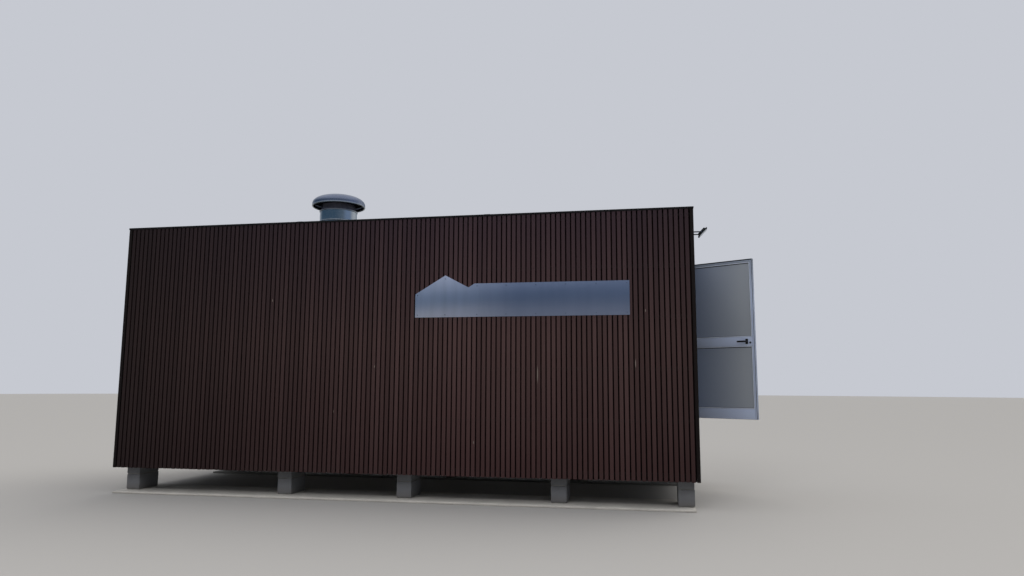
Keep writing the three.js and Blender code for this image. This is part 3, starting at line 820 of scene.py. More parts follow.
class POWERHOUSE_OT_footings(bpy.types.Operator):
    """Cast strip footings with slightly ragged edges"""
    bl_idname = "powerhouse.footings"
    bl_label = "Footings"

    def execute(self, context):
        # The front footing is painted pale as painted light; the back one takes the darker cast concrete as
        # painted shade
        self.footing("front_footing", lit_strip_concrete())
        self.footing("back_footing", cast_concrete())
        return {"FINISHED"}

    def footing(self, node, finish):
        """A finely divided slab, so that its edges and its top can be uneven."""
        low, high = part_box(node)
        middle, spread = (low + high) / 2, high - low
        select_only()
        bpy.ops.mesh.primitive_grid_add(
            x_subdivisions=150, y_subdivisions=12, size=1, location=(middle.x, middle.y, high.z))
        piece = bpy.context.object
        piece.scale = (spread.x, spread.y, 1)
        keep_place(piece)
        with editing(piece):
            bpy.ops.mesh.extrude_region_move(TRANSFORM_OT_translate={"value": (0, 0, -spread.z)})
            bpy.ops.mesh.select_all(action="SELECT")
            bpy.ops.mesh.normals_make_consistent(inside=False)
        piece.data.materials.append(finish)
        soften(piece, 0.007, 2, angle=60)
        edge_width, edge_wave, grit, top_layer = 0.02, 0.0035, 0.0007, 0.02
        # Two waves of unlike length, 0.56 m and 1.5 m, so that the wander never looks regular
        short_wave, long_wave, long_start = 11.3, 4.1, 1.7

        def roughen(points):
            """The long edges wander a little where the form was, and the top is uneven."""
            chance = np.random.default_rng(31)
            edge_x = np.minimum(points[:, 0] - low.x, high.x - points[:, 0])
            edge_y = np.minimum(points[:, 1] - low.y, high.y - points[:, 1])
            near = np.clip(1 - np.minimum(edge_x, edge_y) / edge_width, 0, 1)
            move = chance.normal(0, grit, points.shape)
            wave = np.sin(points[:, 0] * short_wave) * np.sin(points[:, 0] * long_wave + long_start)
            move[:, 1] += near * edge_wave * wave
            move[points[:, 2] <= high.z - top_layer, 2] = 0.0
            move[points[:, 2] < low.z + 0.001] = 0.0
            return move

        shift_points(piece, roughen)
        dress(node, "cast", [piece], smooth=50)


class POWERHOUSE_OT_piers(bpy.types.Operator):
    """Piers of concrete blocks laid in mortar, four courses each"""
    bl_idname = "powerhouse.piers"
    bl_label = "Block piers"

    def execute(self, context):
        for row in ("front", "back"):
            for number in range(1, 6):
                self.pier(f"{row}_pier_{number}", seed=number * 7 + len(row))
        return {"FINISHED"}

    def pier(self, node, seed):
        """One pier: its blocks, divided finely enough to be uneven, and its mortar beds."""
        low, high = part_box(node)
        given = sizes()
        rise, joint_top = given.block_course, low.z + given.mortar_joint
        courses = round((high.z - low.z) / rise)
        # Mortar joints lie 7 mm back from the blocks' faces
        inset = Vector((0.007, 0.007, 0))
        bed = block(low + inset, Vector((high.x, high.y, joint_top)) - inset, cast_concrete())
        stone = block((low.x, low.y, joint_top), (high.x, high.y, low.z + rise), block_concrete(), 0.005, 2)
        with editing(stone):
            bpy.ops.mesh.subdivide(number_cuts=5)

        def chip(points):
            """Each block is set a millimetre or two out of line, its faces a little uneven."""
            chance = np.random.default_rng(seed)
            course = np.clip(((points[:, 2] - low.z) / rise).astype(int), 0, courses - 1)
            most_slip, grain = 0.0022, 0.0005
            slip = chance.uniform(-most_slip, most_slip, (courses, 3)) * (1, 1, 0)
            return slip[course] + chance.normal(0, grain, points.shape)

        stones, beds = [repeat(piece, courses, (0, 0, rise)) for piece in (stone, bed)]
        shift_points(stones, chip)
        dress(node, "blocks", [stones, beds], smooth=40)


class POWERHOUSE_OT_shell(bpy.types.Operator):
    """Floor, jointed wall panels and the felted roof deck"""
    bl_idname = "powerhouse.shell"
    bl_label = "Floor, walls and roof"

    def execute(self, context):
        dress("floor_slab", "cast", [copy_of("floor_slab", cast_concrete(), 0.004)])
        for wall in ("front_wall", "back_wall", "left_wall",
                     "right_wall_front", "right_wall_back", "right_wall_over_door"):
            low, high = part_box(wall)
            run = 0 if high.x - low.x > high.y - low.y else 1
            dress(wall, "panels", [self.panels(low, high, run)])
        self.roof()
        return {"FINISHED"}

    def panels(self, low, high, run):
        """Painted panels side by side, with a rounded joint between them."""
        length = high[run] - low[run]
        count = max(1, round(length / sizes().wall_panel))
        first_high = high.copy()
        first_high[run] = low[run] + length / count
        return repeat(block(low, first_high, painted_panel(), 0.0035, 2), count, along(run, length / count))

    def roof(self):
        """Deck panels under rolls of felt with their laps, felt upstands and a skirt round the vent."""
        low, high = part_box("roof_deck")
        felt = roofing_felt()
        felt_thick, top_layer, lap, upstand, skirt = 0.006, 0.002, 0.09, 0.004, 0.15
        parts = [self.panels(low, Vector((high.x, high.y, high.z - felt_thick)), 0)]
        rolls = round((high.x - low.x) / sizes().felt_width)
        roll = (high.x - low.x) / rolls
        strip = block((low.x, low.y, high.z - felt_thick), (low.x + roll, high.y, high.z - top_layer),
                      felt, rounding=0.001)
        edge = block((low.x + roll - lap, low.y, high.z - 0.0025), (low.x + roll, high.y, high.z),
                     felt, rounding=0.0008)
        parts += [repeat(strip, rolls, (roll, 0, 0)), repeat(edge, rolls - 1, (roll, 0, 0))]
        capping_foot, upstand_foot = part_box("front_flashing")[0].z, high.z - 0.001
        sides = ((low.x, low.y, high.x, low.y + upstand), (low.x, high.y - upstand, high.x, high.y),
                 (low.x, low.y, low.x + upstand, high.y), (high.x - upstand, low.y, high.x, high.y))
        for x0, y0, x1, y1 in sides:
            parts.append(block((x0, y0, upstand_foot), (x1, y1, capping_foot), felt, rounding=0.001))
        parts.append(level_plate(*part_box("vent_curb"), skirt, upstand_foot, high.z + upstand, felt, 0.0015))
        dress("roof_deck", "felted", parts)


class POWERHOUSE_OT_cappings(bpy.types.Operator):
    """Folded metal capping with a drip edge and sleeves over its joints"""
    bl_idname = "powerhouse.cappings"
    bl_label = "Cappings"

    def execute(self, context):
        finish = coated_capping()
        drip_thick, drip_below, drip_above = 0.0025, 0.005, 0.006
        sleeve_thick, sleeve_deep, sleeve_half, sleeve_foot = 0.0014, 0.064, 0.04, 0.002
        for side, run, out in (("front", 0, -1), ("back", 0, 1), ("left", 1, -1), ("right", 1, 1)):
            low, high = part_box(side + "_flashing")
            outer = (high if out > 0 else low)[1 - run]
            length = high[run] - low[run]
            parts = [
                block(low, high, finish, 0.0035, 3),
                span_block(run, (low[run], high[run]), (outer, outer - out * drip_thick),
                           (low.z - drip_below, low.z + drip_above), finish, rounding=0.0008),
            ]
            pieces = round(length / sizes().capping_length)
            for number in range(1, pieces):
                middle = low[run] + length * number / pieces
                parts.append(span_block(run, (middle - sleeve_half, middle + sleeve_half),
                                        (outer + out * sleeve_thick, outer - out * sleeve_deep),
                                        (low.z + sleeve_foot, high.z + sleeve_thick), finish,
                                        rounding=0.0012))
            dress(side + "_flashing", "folded", parts)
        return {"FINISHED"}


class POWERHOUSE_OT_door_frame(bpy.types.Operator):
    """Rebated jambs, head and sill with seals, strike plate and screws"""
    bl_idname = "powerhouse.door_frame"
    bl_label = "Door frame"

    def execute(self, context):
        metal, seal = anodised_jamb(), rubber_seal()
        hinge_low, hinge_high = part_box("door_jamb_hinge_side")
        lock_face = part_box("door_jamb_lock_side")[1].y
        head_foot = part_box("door_head")[0].z
        rebate_deep, seal_thick, near, far, gap, end_gap = 0.05, 0.0028, 0.005, 0.014, 0.002, 0.004
        face = hinge_high.x
        stop_face = face - rebate_deep
        upright = hinge_low.z + end_gap, hinge_high.z - end_gap
        # Each member's seal, by its spans along the doorway and up
        seals = (
            ("door_jamb_hinge_side", hinge_low.y + near, hinge_low.y + far, *upright),
            ("door_jamb_lock_side", lock_face - far, lock_face - near, *upright),
            ("door_head", lock_face + gap, hinge_low.y - gap, head_foot + near, head_foot + far),
        )
        for node, y0, y1, z0, z1 in seals:
            strip = block((stop_face, y0, z0), (stop_face + seal_thick, y1, z1), seal, rounding=0.001)
            parts = [copy_of(node, metal, 0.0015), strip]
            if node == "door_jamb_lock_side":
                parts += self.strike_plate(face, lock_face - LOCK_REBATE)
            dress(node, "rebated", parts)
        self.sill(face, metal)
        return {"FINISHED"}

    def strike_plate(self, face, seat):
        """Plate with its slot and two screws, level with the lever."""
        centre = face - 0.026
        middle = joint_place("lever_turn")[0].z
        half_wide, half_tall, thick, screw_rise = 0.012, 0.085, 0.0012, 0.07
        slot_wide, slot_tall = 0.005, 0.02
        plate = block((centre - half_wide, seat - 0.0005, middle - half_tall),
                      (centre + half_wide, seat + thick, middle + half_tall), screw_steel(), rounding=0.0005)
        slot = block((centre - slot_wide, seat + 0.0008, middle - slot_tall),
                     (centre + slot_wide, seat + 0.0014, middle + slot_tall), black_coating(),
                     rounding=0.0002)
        screws = [screw((centre, seat + thick, middle + rise), Y_AXIS, 0.004, 0.001, rounding=0.0003)
                  for rise in (-screw_rise, screw_rise)]
        return [plate, slot, *screws]

    def sill(self, face, metal):
        """Sill with six ridges for grip and four screws."""
        low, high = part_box("door_sill")
        ridge_margin, ridge_height, ridges, ridge_pitch = 0.06, 0.0012, 6, 0.011
        ridge = block((face - 0.075, low.y + ridge_margin, high.z - 0.0008),
                      (face - 0.071, high.y - ridge_margin, high.z + ridge_height), metal, rounding=0.0006)
        screw_margin, screws = 0.1, 4
        first = screw((low.x + 0.04, low.y + screw_margin, high.z + 0.0004), Z_AXIS, 0.005, 0.0012)
        screw_step = (high.y - low.y - 2 * screw_margin) / (screws - 1)
        dress("door_sill", "ridged", [
            copy_of("door_sill", metal, 0.0012), repeat(ridge, ridges, (ridge_pitch, 0, 0)),
            repeat(first, screws, (0, screw_step, 0))])


def door_turn():
    """From the leaf drawn closed about its hinge axis to the leaf standing open at rest."""
    axis = joint_place("door_hinge")[0]
    closed = next(joint for joint in frame["joints"] if joint["name"] == "door_hinge")["range_deg"][0]
    return Matrix.Translation((axis.x, axis.y, 0)) @ Matrix.Rotation(math.radians(-closed), 4, "Z")


def box_in(turn, node):
    """Corners of a turned node as it was before its turn."""
    points = [turn.inverted() @ vertex.co for vertex in NODES[node].data.vertices]
    return [Vector([pick(point[axis] for point in points) for axis in range(3)]) for pick in (min, max)]


class POWERHOUSE_OT_door_leaf(bpy.types.Operator):
    """Leaf of stiles, rails and two infill panels with beads"""
    bl_idname = "powerhouse.door_leaf"
    bl_label = "Door leaf"

    def execute(self, context):
        seal = rubber_seal()
        low, high = box_in(door_turn(), "door_leaf")
        stile, top_rail, low_rail, half_mid_rail = 0.050, 0.055, 0.150, 0.075
        bead, seam, recess, gasket, slip = 0.014, 0.0028, 0.012, 0.0045, 0.0004
        sunk, lapped = 0.0006, recess + 0.001
        left, right = low.y + stile, high.y - stile
        side_low, side_high = left - bead, right + bead
        rail_height = 1.057
        middle = low.z + rail_height
        panels = ((low.z + low_rail, middle - half_mid_rail), (middle + half_mid_rail, high.z - top_rail))
        rail_low, rail_high = side_low + slip, side_high - slip
        parts = []

        def add(depths, rows, finish, rounding, segments=1):
            """Adds a block for each row, which gives its spans along the leaf and up."""
            for y0, y1, z0, z1 in rows:
                parts.append(block((depths[0], y0, z0), (depths[1], y1, z1), finish, rounding, segments))

        add((low.x, high.x), (
            (low.y, side_low, low.z, high.z),
            (side_high, high.y, low.z, high.z),
            (rail_low, rail_high, panels[1][1] + bead, high.z),
            (rail_low, rail_high, panels[0][1] + bead, panels[1][0] - bead),
            (rail_low, rail_high, low.z, panels[0][0] - bead),
        ), frame_coat(), 0.0018, 2)
        for foot, head in panels:
            add((low.x + recess, high.x - recess), [(side_low, side_high, foot - bead, head + bead)],
                panel_coat_painted_shade(), 0.0005)
            for depths in ((low.x + sunk, low.x + lapped), (high.x - lapped, high.x - sunk)):
                add(depths, (
                    (side_low + seam, side_high - seam, foot - bead + seam, foot),
                    (side_low + seam, side_high - seam, head, head + bead - seam),
                    (side_low + seam, left, foot + slip, head - slip),
                    (right, side_high - seam, foot + slip, head - slip),
                ), bead_paint_highlight(), 0.0045, 3)
            proud = recess - 0.0025
            for depths in ((low.x + proud, low.x + lapped), (high.x - lapped, high.x - proud)):
                add(depths, (
                    (left - slip, right + slip, foot - slip, foot + gasket),
                    (left - slip, right + slip, head - 2 * gasket, head + slip),
                    (left - slip, left + gasket, foot + gasket, head - 2 * gasket),
                    (right - gasket, right + slip, foot + gasket, head - 2 * gasket),
                ), seal, 0.0008)
        # The closing seal runs round the inner face, close to its edge
        width, head_width, proud, margin, foot = 0.008, 0.015, 0.0012, 0.0015, low.z + 0.004
        head = high.z - margin - head_width
        add((low.x - proud, low.x + 0.002), (
            (low.y + margin, high.y - margin, head, high.z - margin),
            (low.y + margin, low.y + margin + width, foot, head),
            (high.y - margin - width, high.y - margin, foot, head),
        ), seal, 0.0009, 2)
        # Rubber strips along the middle of the four edges, the bottom one broader
        mid = (low.x + high.x) / 2
        inside, ends, half_wide, half_broad, hangs = 0.001, 0.004, 0.005, 0.009, 0.003
        add((mid - half_wide, mid + half_wide), (
            (low.y - proud, low.y + inside, low.z + ends, high.z - ends),
            (high.y - inside, high.y + proud, low.z + ends, high.z - ends),
            (low.y + ends, high.y - ends, high.z - inside, high.z + proud),
        ), seal, 0.0005)
        add((mid - half_broad, mid + half_broad),
            [(low.y + ends, high.y - ends, low.z - hangs, low.z + inside)], seal, 0.0005)
        dress("door_leaf", "framed", [placed(join(parts), door_turn())], body="door")
        return {"FINISHED"}


class POWERHOUSE_OT_door_fittings(bpy.types.Operator):
    """Hinges, lever handles, lock plates and key cylinders"""
    bl_idname = "powerhouse.door_fittings"
    bl_label = "Door fittings"

    def execute(self, context):
        turn = door_turn()
        hinge_place = joint_place("door_hinge")[0]
        still = Matrix.Translation((hinge_place.x, hinge_place.y, 0))
        for place in ("top", "bottom"):
            self.hinge_half(f"hinge_{place}_frame", 1, still, "cabin")
            self.hinge_half(f"hinge_{place}_leaf", -1, turn, "door")
        for side, out in (("inside", -1), ("outside", 1)):
            self.lock_plate(side, out, turn)
            self.lever(side, out, turn)
        return {"FINISHED"}

    def hinge_half(self, node, side, turn, body):
        """One half of a hinge with two screws, on this side of its pin."""
        low, high = box_in(turn, node)
        leaf_face, from_pin, screw_rise = -0.0062, 0.026, 0.018
        parts = [copy_of(node, anodised_jamb(), 0.0008, angle=50)]
        for rise in (-screw_rise, screw_rise):
            middle = (leaf_face, side * from_pin, (low.z + high.z) / 2 + rise)
            parts.append(placed(screw(middle, X_AXIS, 0.0045, 0.002), turn))
        dress(node, "screwed", parts, body=body)

    def lock_plate(self, side, out, turn):
        """Backplate with the key cylinder beside it: its rose, its face and the slot for the key."""
        node = "lock_plate_" + side
        coat, steel = black_coating(), screw_steel()
        low, high = box_in(turn, node)
        leaf_face = high.x if side == "inside" else low.x
        from_plate, below_middle, rose_thick, cylinder_thick = 0.032, 0.016, 0.007, 0.009
        y, z = low.y - from_plate, (low.z + high.z) / 2 - below_middle
        key_face, key_deep, key_wide, key_tall = leaf_face + out * cylinder_thick, 0.0004, 0.001, 0.005
        extras = (
            rod((leaf_face + out * rose_thick / 2, y, z), X_AXIS, 0.0145, rose_thick, steel, 32, 0.002, 3),
            rod((leaf_face + out * 0.0075, y, z), X_AXIS, 0.0085, 0.003, coat, 24, rounding=0.0006),
            block((key_face - key_deep, y - key_wide, z - key_tall),
                  (key_face + key_deep, y + key_wide, z + key_tall), steel, rounding=0.0002),
        )
        parts = [copy_of(node, coat, 0.0018, 3, angle=50)] + [placed(each, turn) for each in extras]
        dress(node, "keyed", parts, body="door")

    def lever(self, side, out, turn):
        """Bent oval grip on its collar, the inside one with the spindle that both share."""
        node = "lever_" + side
        coat = black_coating()
        low, high = box_in(turn, node)
        pivot = turn.inverted() @ joint_place("lever_turn")[0]
        plate_low, plate_high = box_in(turn, "lock_plate_" + side)
        start = (plate_high.x if out > 0 else plate_low.x) + out * 0.0006
        radius, bend, taller, collar_thick, spindle_length = 0.009, 0.016, 0.33, 0.011, 0.045
        knee = (high.x if out > 0 else low.x) - out * radius
        turned = arc((knee - out * bend, pivot.y + bend), (out * bend, -bend), 90, -15, 7)
        line = [(start, pivot.y), *turned, (knee, high.y - 0.007), (knee, high.y - 0.001)]
        grip = soften(tube([(*point, pivot.z) for point in line], radius, coat, 4), 0.002, 2, angle=60)
        # The grip is oval, a third taller than it is thick
        shift_points(grip, lambda points: (points - (0, 0, pivot.z)) * (0, 0, taller))
        collar = rod((start + out * collar_thick / 2, pivot.y, pivot.z), X_AXIS, 0.012, collar_thick, coat,
                     32, rounding=0.0015, segments=2)
        parts = [grip, collar]
        if side == "inside":
            middle = (high.x - 0.025, pivot.y, pivot.z)
            parts.append(screw(middle, X_AXIS, 0.005, spindle_length, 16))
        dress(node, "bent", [placed(part, turn) for part in parts], body="door_lever")


class POWERHOUSE_OT_name_plate(bpy.types.Operator):
    """Bare brushed plate with its ridge line and fixing screws"""
    bl_idname = "powerhouse.name_plate"
    bl_label = "Name plate"

    def execute(self, context):
        low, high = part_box("name_plate")
        inset, ridge_end, plate_height, pairs = 0.03, 0.80, 0.418, 6
        run = high.x - inset - low.x - ridge_end
        places = [(low.x + ridge_end + number * run / (pairs - 1), z)
                  for number in range(pairs) for z in (low.z + inset, low.z + plate_height - inset)]
        # Four more under the ridge line: two along the foot, one at the left shoulder, one at the peak
        places += [(low.x + inset, low.z + inset), (low.x + 0.39, low.z + inset),
                   (low.x + inset, low.z + 0.28), (low.x + 0.389, high.z - 0.045)]
        screws = [screw((x, low.y - 0.0012, z), Y_AXIS, 0.0065, 0.0032, 16, 0.0012, 2) for x, z in places]
        plate = copy_of("name_plate", brushed_steel(), 0.0009)
        dress("name_plate", "brushed", [plate, *screws])
        return {"FINISHED"}


class POWERHOUSE_OT_vent(bpy.types.Operator):
    """Spun cap, beaded neck with its seam, flanged curb"""
    bl_idname = "powerhouse.vent"
    bl_label = "Roof vent"

    def execute(self, context):
        low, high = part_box("vent_cap")
        centre = ((low.x + high.x) / 2, (low.y + high.y) / 2)
        lip = low.z + 0.006
        self.cap(centre, lip, (high.x - low.x) / 2, high.z)
        self.neck(centre, throat_top=lip + 0.144)
        self.curb()
        return {"FINISHED"}

    def cap(self, centre, lip, radius, crown):
        """Spun skin: over the crown, round the rolled edge and back inside, where it is painted dark as
        shade.
        """
        skin, curl, shoulder, steps = 0.004, 0.0095, lip + 0.034, 16

        def dome(inset):
            """From the shoulder to the crown, this far inside the outer skin."""
            across, up = radius - 0.002 - inset, crown - inset - shoulder
            angles = [math.radians(90 * step / steps) for step in range(steps)]
            points = [(across * math.cos(angle) ** 0.8, shoulder + up * math.sin(angle) ** 0.9)
                      for angle in angles]
            return points + [(0.0, crown - inset)]

        rolled_edge = arc((radius - curl, lip + curl), (curl, curl), 40, -24, 11)
        cap = spun(dome(0.0)[::-1] + rolled_edge + dome(skin), centre, weathered_zinc())
        cap.data.materials.append(cap_shade_finish())
        cap.data.materials.append(bright_zinc())
        # The rolled edge takes the bright zinc as a painted highlight; the underside inside it takes the dark
        # finish as painted shade
        for face in cap.data.polygons:
            away = math.hypot(face.center.x - centre[0], face.center.y - centre[1])
            if face.center.z < lip + 2 * curl and away > radius - 2.1 * curl:
                face.material_index = 2
            elif face.normal.z < 0 and away < radius - 1.5 * curl:
                face.material_index = 1
        dress("vent_cap", "spun", [cap], smooth=40)

    def neck(self, centre, throat_top):
        """Beaded wall on its flange, and the barred throat that reaches up into the cap."""
        zinc, bright = weathered_zinc(), bright_zinc()
        foot, under = [corner.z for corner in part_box("vent_neck")]
        wall, throat, rim, inner, flange = 0.277, 0.245, foot + 0.350, 0.217, 0.317
        bead_out, bead_up = 0.009, 0.0135
        outline = [(inner + 0.03, foot), (flange, foot), (flange, foot + 0.004), (wall + 0.003, foot + 0.004),
                   (wall, foot + 0.008)]
        for z in (foot + 0.16, rim - 2 * bead_up):
            outline += arc((wall, z + bead_up), (bead_out, bead_up), -90, 30, 7)
        outline += [(throat, rim), (throat, under - 0.0005), (inner, under - 0.0005), (inner, foot),
                    (inner + 0.03, foot)]
        neck = spun(outline, centre, bright, steps=72)
        # From its upper bead on, the neck is painted dull and dark as the shade under the cap
        neck.data.materials.append(shaded_neck_zinc())
        for face in neck.data.polygons:
            if face.center.z > rim - 0.016:
                face.material_index = 1
        seam = block((centre[0] + 0.17, centre[1] - 0.2205, foot + 0.012),
                     (centre[0] + 0.188, centre[1] - 0.2, foot + 0.158), bright, rounding=0.001)
        open_height, middle = throat_top - rim, (rim + throat_top) / 2
        # The dark core in the throat stands where there is only shade inside the cap: painted shade
        core = rod((*centre, middle), Z_AXIS, throat - 0.004, open_height - 0.002, cap_shade_finish(), 48, 0.001)
        parts = [neck, seam, core]
        # Upright bird bars round the throat, and screws through the flange
        for x, y in arc(centre, (throat + 0.004, throat + 0.004), 0, 6, 60):
            parts.append(rod((x, y, middle), Z_AXIS, 0.0016, open_height, zinc, 6))
        for x, y in arc(centre, (wall + 0.022, wall + 0.022), 10, 30, 12):
            parts.append(screw((x, y, foot + 0.007), Z_AXIS, 0.008, 0.007, 6, 0.0008))
        dress("vent_neck", "beaded", parts, smooth=40)

    def curb(self):
        """Box of bent sheet under a folded lid, with a flange on the felt."""
        low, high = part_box("vent_curb")
        dull = matt_zinc()
        overhang, lid_deep, flange, flange_foot, flange_top = 0.006, 0.035, 0.11, 0.003, 0.0055
        lid = level_plate(low, high, overhang, high.z - lid_deep, high.z - 0.0005, dull, 0.002, 2)
        foot = level_plate(low, high, flange, low.z + flange_foot, low.z + flange_top, dull, 0.0008)
        dress("vent_curb", "folded", [copy_of("vent_curb", dull, 0.004, 3), lid, foot])


class POWERHOUSE_OT_floodlight(bpy.types.Operator):
    """Small floodlight with cooling fins in a bolted bracket"""
    bl_idname = "powerhouse.floodlight"
    bl_label = "Floodlight"

    def execute(self, context):
        coat = black_coating()
        pivot = joint_place("lamp_tilt")[0]
        self.housing(pivot, coat)
        low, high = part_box("lamp_bracket")
        knob_thick, bolt_face, bolt_apart = 0.006, 0.0055, 0.04
        parts = [copy_of("lamp_bracket", coat, 0.001)]
        for side, end in ((-1, low.y), (1, high.y)):
            knob = (pivot.x, end + side * knob_thick / 2, pivot.z)
            bolt = (low.x + bolt_face, (low.y + high.y) / 2 + side * bolt_apart, pivot.z)
            parts += [screw(knob, Y_AXIS, 0.0065, knob_thick, 6, 0.0008),
                      screw(bolt, X_AXIS, 0.005, 0.004, 6, 0.0006)]
        dress("lamp_bracket", "bolted", parts)
        return {"FINISHED"}

    def housing(self, pivot, coat):
        """Finned body behind a front rim, with its pivots, its diodes and, as its own piece, its glass."""
        lean = Matrix.Translation(pivot) @ Matrix.Rotation(math.radians(LAMP_LEAN_DEG), 4, "Y")
        low, high = box_in(lean, "lamp_housing")
        front, wide, foot, head = high.x, 0.073, low.z, high.z
        rim = block((0.001, -wide, foot), (front, wide, head), coat, 0.003, 3)
        with editing(rim):
            bpy.ops.mesh.select_all(action="DESELECT")
        for face in rim.data.polygons:
            face.select = face.normal.x > 0.99 and face.area > 0.01
        bpy.ops.object.mode_set(mode="EDIT")
        bpy.ops.mesh.inset(thickness=0.012, depth=-0.005)
        bpy.ops.object.mode_set(mode="OBJECT")
        body_in, fin_in, fin_thick, fins = 0.018, 0.024, 0.003, 9
        body = block((0.008 - front, body_in - wide, foot + 0.016), (0.003, wide - body_in, head - 0.016),
                     coat, 0.004, 2)
        fin = block((-front, fin_in - wide, foot + 0.018),
                    (0.01 - front, fin_in + fin_thick - wide, head - 0.018), coat, 0.0006)
        fin_step = (2 * (wide - fin_in) - fin_thick) / (fins - 1)
        parts = [rim, body, repeat(fin, fins, (0, fin_step, 0))]
        for side in (-1, 1):
            parts += [screw((0, side * (wide + 0.008), 0), Y_AXIS, 0.0045, 0.028, 16),
                      rod((0, side * (wide - 0.002), 0), Y_AXIS, 0.011, 0.012, coat, 20, 0.0012, 2)]
        middle, half_diodes, margin = (foot + head) / 2, 0.022, 0.0125
        parts.append(block((front - 0.0058, -half_diodes, middle - half_diodes),
                           (front - 0.0046, half_diodes, middle + half_diodes), light_source(), 0.0005))
        dress("lamp_housing", "finned", [placed(join(parts), lean)], body="lamp", smooth=40)
        glass = block((front - 0.0036, margin - wide, foot + margin),
                      (front - 0.0012, wide - margin, head - margin), lamp_glass(), 0.0004)
        settle(placed(glass, lean), "lamp_glass", body="lamp")


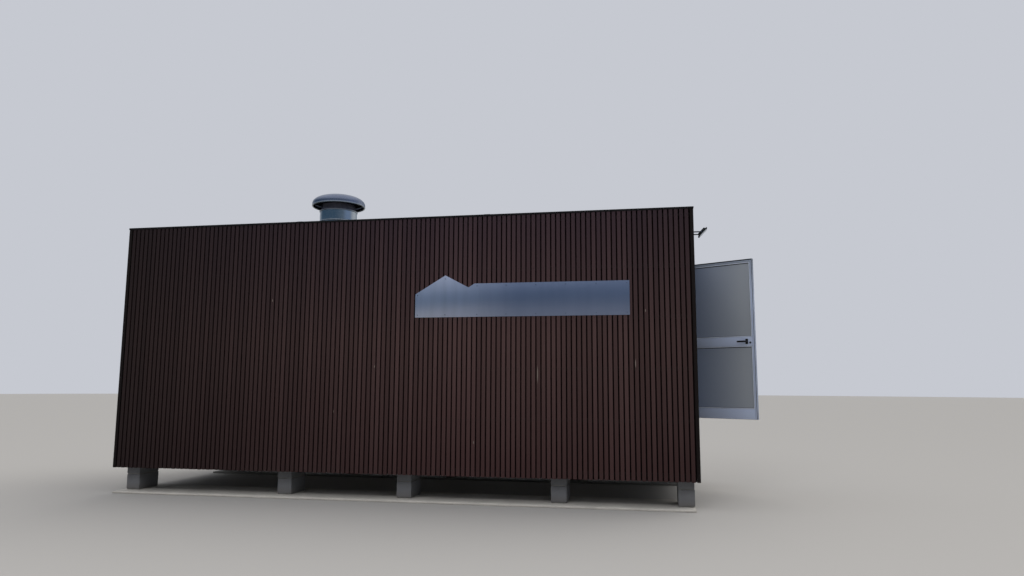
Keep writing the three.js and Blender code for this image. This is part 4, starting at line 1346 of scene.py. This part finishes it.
class POWERHOUSE_OT_stage(bpy.types.Operator):
    """Pale floor, soft light and the camera at the photograph's angle"""
    bl_idname = "powerhouse.stage"
    bl_label = "Stage"

    def execute(self, context):
        scene = context.scene
        mood = colours()
        select_only()
        bpy.ops.mesh.primitive_plane_add(size=240, location=(0, 0, 0))
        self.keep(bpy.context.object, "studio_floor", "matt studio floor", {
            "Base Color": mood.stage, "Roughness": 0.95, "Specular IOR Level": 0.1})

        # Only the camera sees the backdrop, so the softer light behind it reaches the object
        select_only()
        bpy.ops.mesh.primitive_uv_sphere_add(segments=96, ring_count=48, radius=115, location=(0, 0, 0))
        dome = bpy.context.object
        self.keep(dome, "studio_backdrop", "plain backdrop", {
            "Base Color": (0.0, 0.0, 0.0, 1.0), "Specular IOR Level": 0.0,
            "Emission Color": mood.backdrop, "Emission Strength": 1.0})
        dome.visible_diffuse = False
        dome.visible_glossy = False
        dome.visible_transmission = False
        dome.visible_shadow = False

        scene.world = self.world()
        scene.view_settings.view_transform = "Standard"
        self.lights()

        camera = new_piece("camera", bpy.data.cameras.new("camera"))
        camera.data.sensor_width = SENSOR_WIDTH_MM
        camera.data.lens = CAMERA_FOCAL_PIXELS * SENSOR_WIDTH_MM / IMAGE_WIDTH_PIXELS
        camera.data.clip_end = 400
        camera.matrix_world = (
            Matrix.Translation(CAMERA_PLACE)
            @ Matrix.Rotation(math.radians(CAMERA_HEADING_DEG), 4, "Z")
            @ Matrix.Rotation(math.radians(90 + CAMERA_PITCH_DEG), 4, "X")
            @ Matrix.Rotation(math.radians(CAMERA_ROLL_DEG), 4, "Z")
        )
        scene.camera = camera
        return {"FINISHED"}

    def keep(self, piece, name, finish, constants):
        piece.name = name
        piece.data.materials.append(surface(new_material(finish)[0], constants))

    def world(self):
        """Soft light from above. Gloss mirrors dark and bright sides under the same pale ceiling."""
        world = bpy.data.worlds.new("soft studio")
        world.use_nodes = True
        tree = world.node_tree
        mood = colours()
        direction = add_node(tree, "TexCoord").outputs["Generated"]
        height = add_node(tree, "SeparateXYZ", links={0: direction}).outputs["Z"]
        soft = add_node(tree, "Mix", {6: mood.level, 7: mood.overhead}, {0: height}, data_type="RGBA")
        side, second, cool = [
            add_node(tree, "VectorMath", {1: (math.cos(heading), math.sin(heading), 0)}, {0: direction},
                     operation="DOT_PRODUCT").outputs["Value"]
            for heading in map(math.radians, (BRIGHT_HEADING_DEG, SECOND_HEADING_DEG, BLUE_HEADING_DEG))]
        # The slope from the dark to the bright side, the glow in its middle and a weaker window behind
        slope, glow, window = [
            add_node(tree, "MapRange", {"From Min": start, "From Max": end, "To Min": 0.0, "To Max": share},
                     {"Value": towards}).outputs[0]
            for towards, start, end, share in (
                (side, -0.65, 0.9, 0.42), (side, 0.8, 0.985, 1.2), (second, 0.72, 0.95, 0.5))]
        bright = add_node(tree, "Math", links={0: slope, 1: glow}, operation="ADD")
        bright = add_node(tree, "Math", links={0: bright.outputs[0], 1: window}, operation="ADD")
        walls = add_node(tree, "Mix", {6: mood.dark_side, 7: mood.bright_side}, {0: bright.outputs[0]},
                         data_type="RGBA", clamp_factor=False).outputs[2]
        walls = fade(tree, walls, mood.blue_side, cool, 0.82, 0.97, 0.35)
        mirrored = fade(tree, walls, mood.overhead, height, 0.32, 0.8)
        gloss = add_node(tree, "LightPath").outputs["Is Glossy Ray"]
        light = add_node(tree, "Mix", links={0: gloss, 6: soft.outputs[2], 7: mirrored}, data_type="RGBA")
        background = tree.nodes["Background"]
        tree.links.new(light.outputs[2], background.inputs["Color"])
        background.inputs["Strength"].default_value = 1.0
        world.cycles.sampling_method = "NONE"
        return world

    def lights(self):
        sun = bpy.data.lights.new("veiled sun", "SUN")
        sun.energy = 1.3
        sun.angle = math.radians(70)
        self.aim(sun, "#fbf8f2", (0, 0, 0), Vector(SUN_WAY))

        box = bpy.data.lights.new("high front softbox", "AREA")
        box.shape = "RECTANGLE"
        box.size, box.size_y = SOFTBOX_SPREAD
        box.energy = SOFTBOX_WATTS
        self.aim(box, "#f4f5fb", SOFTBOX_PLACE, Vector(SOFTBOX_AIM) - Vector(SOFTBOX_PLACE))

    def aim(self, light, code, place, way):
        """Hangs a light at its place, turned to shine its way, out of sight of the camera and of gloss."""
        light.color = linear(code)[:3]
        holder = new_piece(light.name, light)
        holder.location = place
        holder.rotation_euler = way.to_track_quat("-Z", "Y").to_euler()
        holder.visible_camera = False
        holder.visible_glossy = False


STEPS = (
    POWERHOUSE_OT_footings,
    POWERHOUSE_OT_piers,
    POWERHOUSE_OT_shell,
    POWERHOUSE_OT_cladding,
    POWERHOUSE_OT_cappings,
    POWERHOUSE_OT_door_frame,
    POWERHOUSE_OT_door_leaf,
    POWERHOUSE_OT_door_fittings,
    POWERHOUSE_OT_name_plate,
    POWERHOUSE_OT_vent,
    POWERHOUSE_OT_floodlight,
    POWERHOUSE_OT_stage,
)


class POWERHOUSE_PT_sidebar(bpy.types.Panel):
    """Sizes, colours and the steps that dress the powerhouse"""
    bl_idname = "POWERHOUSE_PT_sidebar"
    bl_label = "Powerhouse"
    bl_space_type = "VIEW_3D"
    bl_region_type = "UI"
    bl_category = "Powerhouse"

    def draw(self, context):
        column = self.layout.column()
        for step in STEPS:
            column.operator(step.bl_idname)
        for group in (context.scene.powerhouse_sizes, context.scene.powerhouse_colours):
            box = self.layout.box()
            for name in group.bl_rna.properties.keys():
                if name not in ("rna_type", "name"):
                    box.prop(group, name)


CLASSES = (PowerhouseSizes, PowerhouseColours, *STEPS, POWERHOUSE_PT_sidebar)


def register():
    for each in CLASSES:
        bpy.utils.register_class(each)
    bpy.types.Scene.powerhouse_sizes = PointerProperty(type=PowerhouseSizes)
    bpy.types.Scene.powerhouse_colours = PointerProperty(type=PowerhouseColours)


def unregister():
    del bpy.types.Scene.powerhouse_colours
    del bpy.types.Scene.powerhouse_sizes
    for each in reversed(CLASSES):
        bpy.utils.unregister_class(each)


def main():
    register()
    for step in STEPS:
        group, name = step.bl_idname.split(".")
        getattr(getattr(bpy.ops, group), name)()


if __name__ == "__main__":
    main()
